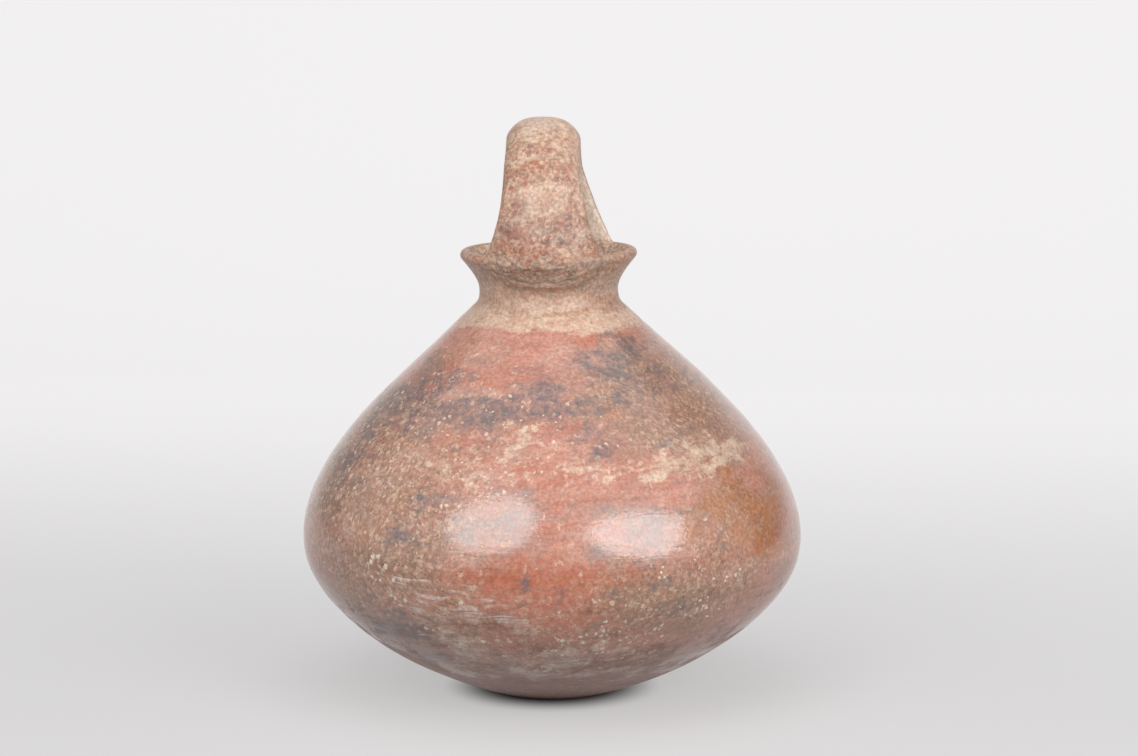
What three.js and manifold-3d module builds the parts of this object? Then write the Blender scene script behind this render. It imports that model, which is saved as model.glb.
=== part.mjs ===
// Squat burnished earthenware jar with a strap handle that arches over its flared mouth.
// It is put together as a potter builds it by hand: a base pad, eight rings of flattened coil,
// a neck collar, a rim coil, and one strap luted to the rim at the front and at the rear.
// Millimetres, +Z up. The origin is the centre of the flat base, and the handle runs along Y.

import * as THREE from "three";
import { mergeVertices } from "three/addons/utils/BufferGeometryUtils.js";
import Module from "manifold-3d";

// Body outline, measured on the outer face
const BASE_RADIUS = 28;
const LOWER_WALL_RISE = 16; // degrees above the floor where the wall leaves the base
const LOWER_WALL_REACH = 38; // how far that slope holds before it rounds upwards
const BELLY_RADIUS = 120;
const BELLY_HEIGHT = 75;
const BELLY_ROUND_BELOW = 35;
const BELLY_ROUND_ABOVE = 38;
const SHOULDER_SLOPE = 43; // degrees above the horizontal
const SHOULDER_REACH = 63;
const BODY_HEIGHT = 185.5; // from the base to the root of the neck

// Neck and rim, measured on the outer face
const THROAT_RADIUS = 33.4; // the narrowest place
const THROAT_RISE = 9; // from the root of the neck to the throat
const THROAT_ROUND_BELOW = 5.8;
const THROAT_ROUND_ABOVE = 4.5;
const NECK_ROOT_SPREAD = 4.1; // the root of the neck is this much wider than the throat
const NECK_ROOT_REACH = 4.4;
const LIP_OVERHANG = 8.6; // the rolled lip stands out this far past the throat
const LIP_RISE = 18.7; // from the throat to the crest of the lip
const LIP_FLARE = 50; // degrees above the horizontal
const LIP_FLARE_REACH = 5;

// Clay thickness
const BASE_THICKNESS = 7.5;
const WALL = 6.5;
const LIP_THICKNESS = 5.2;

// Coil joints: each joint leans, so that the upper ring laps inside the lower one
const PAD_TURN_UP = 12; // how far the base pad turns up into the wall
const JOINT_LAP = 6;
const SLIP_FILM = 0.4; // film of slip in a coil joint, measured along the wall

// Rings of flattened coil from the base up, each with the colour of its slip
const COILS = [
  { name: "lower_coil_1", colour: 0x86695c },
  { name: "lower_coil_2", colour: 0x936f61 },
  { name: "lower_coil_3", colour: 0xa3796a },
  { name: "belly_coil", colour: 0xc08f7c },
  { name: "shoulder_coil_1", colour: 0xc59784 },
  { name: "shoulder_coil_2", colour: 0xb88c7c },
  { name: "shoulder_coil_3", colour: 0xb08477 },
  { name: "shoulder_coil_4", colour: 0xbd8f7c },
];
const BASE_COLOUR = 0x7c675d;
const NECK_COLOUR = 0xbc9b8c;
const RIM_COLOUR = 0xa88f83;
const HANDLE_COLOUR = 0xc0a08c;
const LUTE_COLOUR = 0xa18676;
const BURNISHED = 0.45; // roughness of slip that was rubbed with a pebble
const WIPED = 0.7; // roughness of clay that was only smoothed with a wet hand

// Strap handle
const HANDLE_RISE = 63; // from the lip's crest to the top of the arch
const STRAP_WIDTH = 35;
const STRAP_THICKNESS = 9;
const FOOT_WIDTH = 46;
const FOOT_THICKNESS = 10.5;
const FLARE_HEIGHT = 32; // the strap starts to widen this far above the lip
const FLARE_POWER = 1.3;
const LEG_LEAN = 5; // degrees that a leg leans inwards where it leaves the lip
const LEG_REACH = 30;
const ARCH_ROUND = 17;
const STRAP_FULLNESS = 2.7; // 2 is an oval section, and a larger number is squarer
const SADDLE_DEPTH = 4; // how far a foot straddles the lip

// Wads of clay worked round the feet of the handle
const LUTE_MARGIN = 6; // how far the wad spreads past each edge of the foot
const LUTE_REACH_OUTSIDE = 13;
const LUTE_REACH_INSIDE = 8;
const LUTE_THICKNESS = 5;
const LUTE_BED = 1; // the wad is shaped this far into the lip, then cut back to its seat
const SEAT_CLEARANCE = 0.3;

// Facets
const ROUND_STEPS = 48;
const COIL_STEPS = 4;
const NECK_STEPS = 3;
const RIM_STEPS = 5;
const LIP_CAP_STEPS = 6;
const STRAP_STEPS = 24;
const STRAP_SIDES = 20;
const LUTE_STEPS_ROUND = 18;
const LUTE_STEPS_OVER = 12;

const wasm = await Module();
wasm.setup();

// Outline of the wall, as (radius, height) points

function direction(degrees) {
  const angle = THREE.MathUtils.degToRad(degrees);
  return new THREE.Vector2(Math.cos(angle), Math.sin(angle));
}

// A smooth stretch of outline that leaves start and reaches end along the given headings.
function stretch(start, startHeading, startReach, end, endHeading, endReach) {
  const leaving = start.clone().addScaledVector(direction(startHeading), startReach);
  const arriving = end.clone().addScaledVector(direction(endHeading), -endReach);
  return new THREE.CubicBezierCurve(start, leaving, arriving, end);
}

const UPRIGHT = 90;
const shoulderHeading = 180 - SHOULDER_SLOPE;
const lipCapRadius = LIP_THICKNESS / 2;
const lipRadius = THROAT_RADIUS + LIP_OVERHANG;
const lipCrest = BODY_HEIGHT + THROAT_RISE + LIP_RISE;
const lipCentre = new THREE.Vector2(lipRadius - lipCapRadius, lipCrest - lipCapRadius);

const baseEdge = new THREE.Vector2(BASE_RADIUS, 0);
const belly = new THREE.Vector2(BELLY_RADIUS, BELLY_HEIGHT);
const neckRoot = new THREE.Vector2(THROAT_RADIUS + NECK_ROOT_SPREAD, BODY_HEIGHT);
const throat = new THREE.Vector2(THROAT_RADIUS, BODY_HEIGHT + THROAT_RISE);
const flareEnd = lipCentre.clone().addScaledVector(direction(LIP_FLARE - UPRIGHT), lipCapRadius);

const stretches = [
  stretch(baseEdge, LOWER_WALL_RISE, LOWER_WALL_REACH, belly, UPRIGHT, BELLY_ROUND_BELOW),
  stretch(belly, UPRIGHT, BELLY_ROUND_ABOVE, neckRoot, shoulderHeading, SHOULDER_REACH),
  stretch(neckRoot, shoulderHeading, NECK_ROOT_REACH, throat, UPRIGHT, THROAT_ROUND_BELOW),
  stretch(throat, UPRIGHT, THROAT_ROUND_ABOVE, flareEnd, LIP_FLARE, LIP_FLARE_REACH),
];
const outline = new THREE.CurvePath();
stretches.forEach((curve) => outline.add(curve));

// Distances along the outer face, from the edge of the base
const outlineLength = outline.getLength();
const throatAt = outlineLength - stretches[3].getLength();
const neckRootAt = throatAt - stretches[2].getLength();

// The wall keeps its thickness up to the neck root, then thins evenly to the lip.
function thicknessAt(distance) {
  const upNeck = (distance - neckRootAt) / (outlineLength - neckRootAt);
  return THREE.MathUtils.lerp(WALL, LIP_THICKNESS, THREE.MathUtils.clamp(upNeck, 0, 1));
}

function inwardNormalAt(distance) {
  const along = outline.getTangent(distance / outlineLength);
  return new THREE.Vector2(-along.y, along.x);
}

function outerPoint(distance, grow = 0) {
  const point = outline.getPoint(distance / outlineLength);
  return point.addScaledVector(inwardNormalAt(distance), -grow);
}

function innerPoint(distance, grow = 0) {
  const point = outline.getPoint(distance / outlineLength);
  return point.addScaledVector(inwardNormalAt(distance), thicknessAt(distance) + grow);
}

function pointsAlong(makePoint, from, to, steps, grow) {
  return Array.from({ length: steps + 1 }, (_, i) =>
    makePoint(THREE.MathUtils.lerp(from, to, i / steps), grow),
  );
}

// The rolled lip: a half round from the end of the outer face to the end of the inner face.
function lipCap(grow = 0) {
  const cap = [];
  for (let i = 1; i < LIP_CAP_STEPS; i++) {
    const heading = LIP_FLARE - UPRIGHT + (180 * i) / LIP_CAP_STEPS;
    cap.push(lipCentre.clone().addScaledVector(direction(heading), lipCapRadius + grow));
  }
  return cap;
}

function revolve(profile) {
  return new THREE.LatheGeometry(profile, ROUND_STEPS).rotateX(Math.PI / 2);
}

// Rings of the wall

function basePad() {
  const joint = PAD_TURN_UP - SLIP_FILM / 2;
  return revolve([
    new THREE.Vector2(0, 0),
    ...pointsAlong(outerPoint, 0, joint, COIL_STEPS),
    ...pointsAlong(innerPoint, joint + JOINT_LAP, 0, COIL_STEPS),
    new THREE.Vector2(0, BASE_THICKNESS),
  ]);
}

// A ring between two joints. Its inner face starts and ends one lap further up than its outer face.
// With grow it is the same ring, fatter all round.
function ring(from, to, steps, grow = 0) {
  const bottom = from + SLIP_FILM / 2 - grow;
  const top = to - SLIP_FILM / 2 + grow;
  const profile = [
    ...pointsAlong(outerPoint, bottom, top, steps, grow),
    ...pointsAlong(innerPoint, top + JOINT_LAP, bottom + JOINT_LAP, steps, grow),
  ];
  return revolve([...profile, profile[0]]);
}

function neck(grow = 0) {
  return ring(neckRootAt, throatAt, NECK_STEPS, grow);
}

// The rim runs from the throat up over the rolled lip and down inside to its own joint.
function rim(grow = 0) {
  const bottom = throatAt + SLIP_FILM / 2 - grow;
  const profile = [
    ...pointsAlong(outerPoint, bottom, outlineLength, RIM_STEPS, grow),
    ...lipCap(grow),
    ...pointsAlong(innerPoint, outlineLength, bottom + JOINT_LAP, RIM_STEPS, grow),
  ];
  return revolve([...profile, profile[0]]);
}

// Solids that are cut by their neighbours

function solid(geometry) {
  const bare = geometry.clone();
  bare.deleteAttribute("normal");
  bare.deleteAttribute("uv");
  const merged = mergeVertices(bare);
  return new wasm.Manifold(
    new wasm.Mesh({
      numProp: 3,
      vertProperties: merged.attributes.position.array,
      triVerts: new Uint32Array(merged.index.array),
    }),
  );
}

function geometryOf(cutSolid) {
  const cut = cutSolid.getMesh();
  const geometry = new THREE.BufferGeometry();
  geometry.setAttribute("position", new THREE.BufferAttribute(cut.vertProperties, 3));
  geometry.setIndex(new THREE.BufferAttribute(cut.triVerts, 1));
  geometry.computeVertexNormals();
  return geometry;
}

// Joins equal rings of points into one closed skin, with a flat fan over each end.
function loft(rings) {
  const sides = rings[0].length;
  const points = rings.flat();
  const faces = [];
  for (let i = 0; i < rings.length - 1; i++) {
    for (let j = 0; j < sides; j++) {
      const a = i * sides + j;
      const b = i * sides + ((j + 1) % sides);
      faces.push(a, b, b + sides, a, b + sides, a + sides);
    }
  }
  for (const end of [0, rings.length - 1]) {
    const middle = new THREE.Vector3();
    rings[end].forEach((point) => middle.addScaledVector(point, 1 / sides));
    const centre = points.push(middle) - 1;
    for (let j = 0; j < sides; j++) {
      const a = end * sides + j;
      const b = end * sides + ((j + 1) % sides);
      faces.push(...(end === 0 ? [centre, b, a] : [centre, a, b]));
    }
  }
  return new THREE.BufferGeometry().setFromPoints(points).setIndex(faces);
}

// Strap handle

const footRadius = lipCentre.x;
const archHeight = lipCrest + HANDLE_RISE - STRAP_THICKNESS / 2;

// Centreline of the strap in the plane of the arch, from below the front lip to below the rear lip.
function strapPath() {
  const lean = direction(UPRIGHT - LEG_LEAN);
  const legUp = new THREE.Vector3(0, lean.x, lean.y);
  const foot = new THREE.Vector3(0, -footRadius, lipCrest);
  const front = [
    foot.clone().addScaledVector(legUp, -SADDLE_DEPTH),
    foot,
    foot.clone().addScaledVector(legUp, LEG_REACH),
    new THREE.Vector3(0, -ARCH_ROUND, archHeight),
  ];
  const top = new THREE.Vector3(0, 0, archHeight);
  const rear = front.map((point) => point.clone().multiply(new THREE.Vector3(1, -1, 1)));
  const path = new THREE.CurvePath();
  path.add(new THREE.LineCurve3(front[0], front[1]));
  path.add(new THREE.CubicBezierCurve3(front[1], front[2], front[3], top));
  path.add(new THREE.CubicBezierCurve3(top, rear[3], rear[2], rear[1]));
  path.add(new THREE.LineCurve3(rear[1], rear[0]));
  return path;
}

// 1 at the lip and below it, falling to 0 where the strap has its plain width.
function flareAt(height) {
  const above = THREE.MathUtils.clamp((height - lipCrest) / FLARE_HEIGHT, 0, 1);
  return (1 - above) ** FLARE_POWER;
}

function roundedPower(value) {
  return Math.sign(value) * Math.abs(value) ** (2 / STRAP_FULLNESS);
}

// One section of the strap. Towards the lip it widens, thickens and curves round with the rim.
function strapSection(centre, along, grow) {
  const flare = flareAt(centre.z);
  const halfWidth = THREE.MathUtils.lerp(STRAP_WIDTH, FOOT_WIDTH, flare) / 2 + grow;
  const halfThickness = THREE.MathUtils.lerp(STRAP_THICKNESS, FOOT_THICKNESS, flare) / 2 + grow;
  const outward = new THREE.Vector3(0, -along.z, along.y);
  return Array.from({ length: STRAP_SIDES }, (_, j) => {
    const turn = (2 * Math.PI * j) / STRAP_SIDES;
    const across = halfWidth * roundedPower(Math.sin(turn));
    const curveBack = flare * (footRadius - Math.sqrt(footRadius ** 2 - across ** 2));
    const through = halfThickness * roundedPower(Math.cos(turn)) - curveBack;
    return centre.clone().addScaledVector(outward, through).setX(across);
  });
}

function strap(grow = 0) {
  const path = strapPath();
  const sections = Array.from({ length: STRAP_STEPS + 1 }, (_, i) =>
    strapSection(path.getPoint(i / STRAP_STEPS), path.getTangent(i / STRAP_STEPS), grow),
  );
  return loft(sections);
}

function handleStrap() {
  return geometryOf(solid(strap()).subtract(solid(rim(SEAT_CLEARANCE))));
}

// Luting

// The line that a wad follows over the lip, from the outside of the neck to the inside.
function overTheLip() {
  return new THREE.SplineCurve([
    ...pointsAlong(outerPoint, outlineLength - LUTE_REACH_OUTSIDE, outlineLength, RIM_STEPS),
    ...lipCap(),
    ...pointsAlong(innerPoint, outlineLength, outlineLength - LUTE_REACH_INSIDE, RIM_STEPS),
  ]);
}

// A lens of clay wrapped over the lip, centred on the angle where a foot of the handle stands.
// It swells to its full thickness in the middle and thins to a feather edge all round.
function lens(atAngle) {
  const line = overTheLip();
  const halfSpread = Math.asin((FOOT_WIDTH / 2 + LUTE_MARGIN) / lipRadius);
  const wad = new THREE.SphereGeometry(1, LUTE_STEPS_ROUND, LUTE_STEPS_OVER);
  const position = wad.attributes.position;
  const point = new THREE.Vector3();
  for (let i = 0; i < position.count; i++) {
    point.fromBufferAttribute(position, i);
    const share = (point.y + 1) / 2;
    const along = line.getTangentAt(share);
    const outward = new THREE.Vector2(along.y, -along.x);
    const swell = point.z * Math.abs(point.z);
    const proud = swell * (swell > 0 ? LUTE_THICKNESS : LUTE_BED);
    const section = line.getPointAt(share).addScaledVector(outward, proud);
    const angle = atAngle + point.x * halfSpread;
    position.setXYZ(i, section.x * Math.cos(angle), section.x * Math.sin(angle), section.y);
  }
  return wad;
}

function lute(atAngle) {
  const seats = [rim(SEAT_CLEARANCE), neck(SEAT_CLEARANCE), strap(SEAT_CLEARANCE)];
  const cut = seats.reduce((wad, seat) => wad.subtract(solid(seat)), solid(lens(atAngle)));
  return geometryOf(cut);
}

// The jar

const jar = new THREE.Group();

function addPiece(name, geometry, color, roughness) {
  const material = new THREE.MeshStandardMaterial({ color, roughness, metalness: 0 });
  const piece = new THREE.Mesh(geometry, material);
  piece.name = name;
  jar.add(piece);
}

addPiece("base_pad", basePad(), BASE_COLOUR, WIPED);

const coilHeight = (neckRootAt - PAD_TURN_UP) / COILS.length;
COILS.forEach(({ name, colour }, i) => {
  const from = PAD_TURN_UP + i * coilHeight;
  addPiece(name, ring(from, from + coilHeight, COIL_STEPS), colour, BURNISHED);
});

addPiece("neck_collar", neck(), NECK_COLOUR, BURNISHED);
addPiece("rim_coil", rim(), RIM_COLOUR, WIPED);
addPiece("handle_strap", handleStrap(), HANDLE_COLOUR, BURNISHED);
addPiece("front_lute", lute(-Math.PI / 2), LUTE_COLOUR, WIPED);
addPiece("rear_lute", lute(Math.PI / 2), LUTE_COLOUR, WIPED);

export default jar;
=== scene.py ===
# A hand-built, burnished earthenware jar with a strap handle over its mouth.
# The jar is shown as the rings of clay it was built from, with their joints rubbed away outside.
import math

import bmesh
import bpy
import numpy as np
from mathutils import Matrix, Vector, noise


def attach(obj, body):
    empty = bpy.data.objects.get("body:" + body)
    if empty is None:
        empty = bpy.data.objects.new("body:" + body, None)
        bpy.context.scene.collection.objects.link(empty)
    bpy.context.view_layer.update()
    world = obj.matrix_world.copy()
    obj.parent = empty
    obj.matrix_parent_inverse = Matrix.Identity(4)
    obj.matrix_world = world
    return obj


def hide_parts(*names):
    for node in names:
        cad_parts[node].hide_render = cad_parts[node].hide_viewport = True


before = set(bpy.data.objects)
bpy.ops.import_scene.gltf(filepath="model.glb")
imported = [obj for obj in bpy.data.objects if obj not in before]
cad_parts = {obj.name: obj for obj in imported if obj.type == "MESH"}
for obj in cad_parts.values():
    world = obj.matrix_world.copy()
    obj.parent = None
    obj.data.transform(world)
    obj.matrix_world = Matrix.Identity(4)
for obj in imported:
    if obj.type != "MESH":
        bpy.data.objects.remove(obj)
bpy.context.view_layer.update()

MM = 0.001

# Outline of the outer face, the same sizes as the solids have
BASE_RADIUS = 28 * MM
LOWER_WALL_RISE = 16
LOWER_WALL_REACH = 38 * MM
BELLY_RADIUS = 120 * MM
BELLY_HEIGHT = 75 * MM
BELLY_ROUND_BELOW = 35 * MM
BELLY_ROUND_ABOVE = 38 * MM
SHOULDER_SLOPE = 43
SHOULDER_REACH = 63 * MM
BODY_HEIGHT = 185.5 * MM
THROAT_RADIUS = 33.4 * MM
THROAT_RISE = 9 * MM
THROAT_ROUND_BELOW = 5.8 * MM
THROAT_ROUND_ABOVE = 4.5 * MM
NECK_ROOT_SPREAD = 4.1 * MM
NECK_ROOT_REACH = 4.4 * MM
LIP_OVERHANG = 8.6 * MM
LIP_RISE = 18.7 * MM
LIP_FLARE = 50
LIP_FLARE_REACH = 5 * MM

# Clay thickness and joints
BASE_THICKNESS = 7.5 * MM
WALL = 6.5 * MM
LIP_THICKNESS = 5.2 * MM
PAD_TURN_UP = 12 * MM
JOINT_LAP = 6 * MM
SKIN_DEPTH = 1.5 * MM
SKIN_FADE = 1 * MM
COILS = ["lower_coil_1", "lower_coil_2", "lower_coil_3", "belly_coil",
         "shoulder_coil_1", "shoulder_coil_2", "shoulder_coil_3", "shoulder_coil_4"]

# Strap handle. Its feet are drawn with the clay that was smoothed round them.
HANDLE_RISE = 63 * MM
STRAP_WIDTH = 36.5 * MM
STRAP_THICKNESS = 9 * MM
STRAP_FULLNESS = 2.5
SHIFT_OF_FRONT_LEG = 0.2 * MM
SHIFT_OF_REAR_LEG = -2.6 * MM
LEAN_OF_ARCH = -1.4 * MM
LEAN_STARTS = 19 * MM
LEAN_ENDS = 42 * MM
CROWN_OF_ARCH = 6.5 * MM
CROWN_OF_LEG = 1.6 * MM
CROWN_FADE = 25 * MM
OUTER_BOW = 3
INNER_BOW = 6
INNER_SWELL = 1.35
FOOT_WIDTH = 53.5 * MM
REAR_FOOT_WIDTH = 59 * MM
FOOT_THICKNESS = 10.5 * MM
FLARE_HEIGHT = 40 * MM
FLARE_POWER = 1.5
LEG_LEAN = 5
LEG_REACH = 30 * MM
ARCH_ROUND = 17 * MM
SADDLE_DEPTH = 6 * MM
CUT_ABOVE_LIP = 2.5 * MM
RIM_LAP = 4 * MM
WAD_WIDTH = 58 * MM
WAD_REACH_OUTSIDE = 16 * MM
WAD_REACH_INSIDE = 8 * MM
WAD_THICKNESS = 2.4 * MM
WAD_SINK = 2 * MM

# Streaks of colour climb a little to the right, in degrees
STREAK_TILT = 10

# Fineness of the meshes
ROUND_STEPS = 540
BLEND_STEPS = 360
SECTORS = 18
ROW_HEIGHT = 1.2 * MM
INNER_ROW = 4 * MM
THIN_ROW = 0.2 * MM
PAD_STEPS = 12
LEG_STEPS = 40
STRAP_SECTIONS = 64
STRAP_SIDES = 48
BLEND_VOXEL = 0.75 * MM
TOUCHING = 0.001 * MM
SHARP_EDGE = 40

# Photograph and camera
PHOTO_WIDTH = 1138
PHOTO_HEIGHT = 756
FOCAL_PIXELS = 3250
SENSOR_WIDTH = 36.0
VIEW_AZIMUTH = 5
VIEW_DISTANCE = 1540 * MM
VIEW_HEIGHT = 388 * MM
AIM_HEIGHT = 151 * MM
AIM_SIDEWAYS = 8.2 * MM

# Marks on the front, as (x, y, half width, half height, strength, tilt) in pixels of the photograph
MARK_WANDER = 12
MARK_FALL = 0.7

SMOKE = [
    (426, 371, 8, 6, .5), (472, 378, 8, 6, .45), (430, 389, 16, 5, .6), (516, 391, 7, 5, .65),
    (549, 386, 9, 5, .6), (517, 371, 5, 4, .4), (431, 406, 11, 6, .95, -35), (426, 413, 6, 5, .7),
    (454, 409, 8, 5, .6), (484, 408, 14, 9, .85), (507, 413, 11, 7, .95), (487, 419, 10, 6, .6),
    (544, 404, 10, 6, .9), (555, 416, 8, 5, .6), (494, 436, 8, 6, .6), (482, 447, 10, 7, .45),
    (365, 441, 7, 10, .75, 30), (350, 458, 7, 10, .6, 30), (371, 452, 8, 7, .5), (353, 484, 8, 7, .45),
    (323, 509, 6, 10, .6), (413, 511, 6, 6, .7), (456, 501, 5, 4, .6), (443, 511, 8, 8, .5),
    (408, 482, 6, 5, .35), (423, 492, 5, 4, .35), (441, 426, 28, 16, .35), (604, 339, 6, 6, .6),
    (623, 344, 11, 7, .8), (585, 356, 8, 5, .5), (616, 360, 10, 8, .7), (626, 366, 10, 8, .65),
    (583, 372, 9, 4, .6), (605, 372, 8, 4, .6), (555, 384, 9, 4, .7), (585, 389, 11, 6, .6),
    (599, 379, 7, 5, .5), (617, 394, 11, 8, .7), (621, 404, 10, 7, .7), (543, 406, 8, 6, .8),
    (573, 415, 14, 5, .8), (586, 418, 10, 4, .9), (561, 403, 20, 3, .5), (648, 411, 12, 8, .6),
    (643, 427, 10, 7, .45), (590, 430, 9, 6, .7), (597, 447, 13, 8, .9), (580, 440, 8, 4, .7),
    (600, 453, 7, 4, .9), (664, 447, 10, 6, .5), (695, 432, 8, 6, .5), (743, 447, 5, 6, .4),
    (674, 482, 9, 4, .5), (688, 508, 6, 5, .8), (736, 494, 8, 6, .35), (764, 492, 10, 8, .3),
    (399, 533, 14, 9, .6), (419, 525, 6, 5, .5), (524, 584, 4, 6, .95, -20), (534, 601, 8, 3, .4),
    (399, 629, 26, 8, .7, 20), (380, 621, 16, 8, .5, 25), (416, 632, 12, 5, .7, 15),
    (333, 553, 14, 9, .35), (452, 531, 5, 9, .4), (494, 642, 7, 4, .4), (426, 659, 30, 10, .5, 20),
    (722, 545, 4, 6, .95), (719, 533, 3, 3, .6), (703, 521, 7, 5, .4), (636, 568, 9, 6, .6),
    (647, 568, 7, 4, .5), (674, 581, 9, 4, .6), (559, 590, 10, 9, .5), (574, 607, 10, 4, .5),
    (557, 607, 6, 5, .6), (626, 612, 9, 7, .5), (681, 607, 14, 8, .45), (667, 628, 10, 6, .45),
    (597, 625, 10, 5, .5), (470, 412, 75, 15, .5, -8), (600, 396, 60, 36, .5, -10),
    (575, 415, 42, 9, .5, -10), (655, 365, 40, 28, .35), (350, 470, 30, 40, .35), (385, 395, 40, 18, .4),
    (420, 525, 40, 24, .4), (395, 628, 50, 18, .5, 20), (640, 602, 50, 22, .4),
    (428, 406, 26, 9, .85, -20), (405, 398, 22, 9, .55, -30), (470, 424, 34, 7, .5, -6),
    (480, 394, 60, 12, .5, -8), (440, 384, 26, 8, .4, -14),
]
BROWN_STAIN_AND_SHEEN = [
    (686, 403, 50, 34, 1), (650, 380, 26, 18, .6), (664, 410, 30, 18, .7), (729, 416, 24, 18, .6),
    (636, 439, 28, 12, .5), (636, 398, 60, 40, .7), (700, 440, 60, 18, .6), (628, 352, 40, 16, .5),
    (590, 410, 40, 20, .4), (636, 597, 30, 16, .9), (678, 600, 34, 18, .9), (712, 590, 30, 18, .7),
    (695, 628, 30, 14, .6), (623, 621, 28, 10, .6), (424, 551, 22, 10, .9), (399, 560, 26, 10, .8),
    (355, 563, 30, 22, .7), (406, 580, 30, 14, .6), (350, 588, 26, 20, .7), (383, 486, 40, 24, .4),
    (745, 590, 24, 18, .5), (450, 640, 40, 14, .4, 15), (560, 668, 70, 14, .55), (650, 655, 40, 12, .5),
    # The marks along the outline, from here to the end of the list, lay a greyer tan there: painted
    # grazing sheen, not stain
    (428, 366, 22, 12, .8, -40), (388, 403, 28, 14, .8, -40), (350, 448, 26, 16, .8, -50),
    (325, 492, 16, 28, .7), (738, 428, 20, 26, .5, 45), (775, 484, 14, 28, .6), (789, 530, 12, 34, .6),
]
OCHRE = [
    (721, 489, 22, 10, .9), (729, 506, 26, 14, 1), (743, 532, 18, 22, .9), (719, 513, 10, 8, .8),
    (692, 525, 10, 12, .6), (762, 545, 12, 14, .8), (406, 439, 16, 8, .5), (396, 499, 24, 10, .7),
    (363, 530, 18, 16, .8), (393, 516, 18, 10, .7), (446, 570, 12, 6, .6), (439, 603, 18, 5, .7),
    (429, 621, 20, 4, .6), (652, 580, 14, 6, .4), (635, 377, 8, 6, .6), (612, 415, 14, 5, .5),
    (620, 560, 26, 5, .3), (738, 515, 34, 30, .7), (768, 515, 14, 26, .5), (420, 650, 40, 5, .5, 14),
    (480, 626, 40, 6, .5, 6),
]
CREAM = [
    (660, 467, 14, 6, .5), (680, 465, 18, 7, .5), (704, 459, 18, 9, .5), (730, 453, 20, 10, .6, -12),
    (692, 473, 26, 2.5, .75, -4), (609, 472, 24, 7, .35), (583, 470, 16, 6, .25), (400, 418, 9, 5, .85),
    (443, 466, 8, 7, 1), (429, 466, 5, 5, .85), (471, 479, 10, 8, 1), (466, 486, 7, 5, .9),
    (519, 448, 9, 9, 1), (519, 434, 5, 4, .9), (511, 479, 8, 6, .9), (532, 473, 5, 8, .6, 30),
    (469, 464, 5, 5, .7), (537, 446, 7, 3, .8), (484, 454, 4, 4, .7), (506, 458, 4, 4, .8),
    (378, 406, 16, 12, .5), (394, 555, 3, 4, 1), (470, 640, 16, 4, .5), (468, 652, 16, 5, .45),
    (640, 472, 60, 9, .5), (590, 462, 40, 8, .4), (690, 448, 50, 16, .45), (506, 664, 7, 3, .95),
    (521, 667, 8, 3, .9), (545, 667, 11, 3, .9), (545, 654, 12, 3, .8), (568, 655, 7, 5, .95),
    (566, 664, 8, 3, .8), (620, 652, 8, 4, .8), (441, 634, 14, 3, .9, 14), (468, 638, 12, 3, .8, 20),
    (495, 646, 4, 4, .9), (598, 646, 7, 3, .9), (590, 664, 20, 4, .5),
]
FLAKES = [
    (430, 455, 95, 46, 1), (385, 470, 55, 45, 1), (500, 440, 50, 34, .9), (470, 480, 45, 22, .9),
    (550, 450, 34, 44, .6), (450, 400, 60, 20, .5), (500, 560, 200, 16, .25), (640, 600, 60, 20, .4),
    (380, 520, 45, 35, .8), (600, 460, 40, 40, .25), (546, 515, 16, 28, .5), (475, 357, 34, 10, .5),
    (440, 378, 22, 9, .5), (640, 450, 60, 30, .2), (560, 610, 70, 40, .3), (700, 520, 30, 30, .4),
    (560, 666, 80, 14, .6), (470, 640, 60, 20, .45), (640, 640, 50, 16, .45), (380, 600, 40, 30, .4),
]
LIME = [
    (665, 570, 6, 6, 1), (690, 565, 8, 8, 1), (720, 577, 22, 6, .9), (742, 572, 8, 6, .9),
    (695, 615, 10, 10, .9), (622, 630, 5, 6, 1), (598, 633, 8, 6, 1), (560, 642, 16, 4, .95),
    (580, 638, 9, 4, 1), (560, 612, 7, 5, 1), (598, 650, 10, 5, .8), (634, 638, 9, 6, .7),
    (393, 560, 10, 8, .9), (375, 575, 16, 14, .9), (390, 595, 16, 8, 1), (370, 560, 10, 8, .6),
    (640, 595, 16, 10, .4), (420, 530, 10, 10, .6), (500, 640, 20, 10, .4), (605, 638, 50, 8, .5),
    (645, 630, 40, 8, .5), (700, 608, 16, 14, .6), (668, 618, 10, 8, .7), (560, 660, 60, 10, .35),
    (430, 600, 40, 24, .3), (565, 640, 24, 5, .7), (506, 664, 9, 4, .9), (545, 667, 15, 4, .75),
    (546, 654, 14, 4, .75), (568, 656, 9, 6, .95), (620, 652, 10, 5, .8), (441, 634, 16, 4, .9, 14),
    (468, 638, 14, 4, .85, 20), (495, 645, 5, 5, 1),
]
SCUFFS = [
    (415, 575, 32, 5, .95, 4), (440, 594, 30, 4, .95, 3), (500, 600, 20, 3, .85),
    (425, 612, 26, 4, .75, 8), (480, 615, 32, 4, .85, 8), (505, 621, 20, 3, .75, 5),
    (430, 634, 15, 4, .95, 12), (460, 636, 16, 5, .85, 14), (470, 652, 20, 5, .55, 8),
    (515, 668, 9, 3, .8), (560, 655, 20, 4, .4), (560, 668, 16, 3, .5), (540, 675, 20, 3, .5),
]
CRUST = [
    (370, 480, 62, 70, .95), (400, 545, 80, 40, .95), (440, 455, 60, 34, .6), (410, 415, 60, 24, .6),
    (420, 615, 80, 34, .8), (655, 592, 60, 30, .95), (715, 565, 50, 44, .55), (735, 500, 44, 44, .35),
    (690, 410, 70, 50, .75), (610, 385, 46, 40, .6), (560, 660, 150, 20, .7), (580, 625, 70, 16, .5),
    (470, 350, 50, 12, .4), (520, 440, 30, 26, .5), (340, 520, 40, 60, .6),
]
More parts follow.
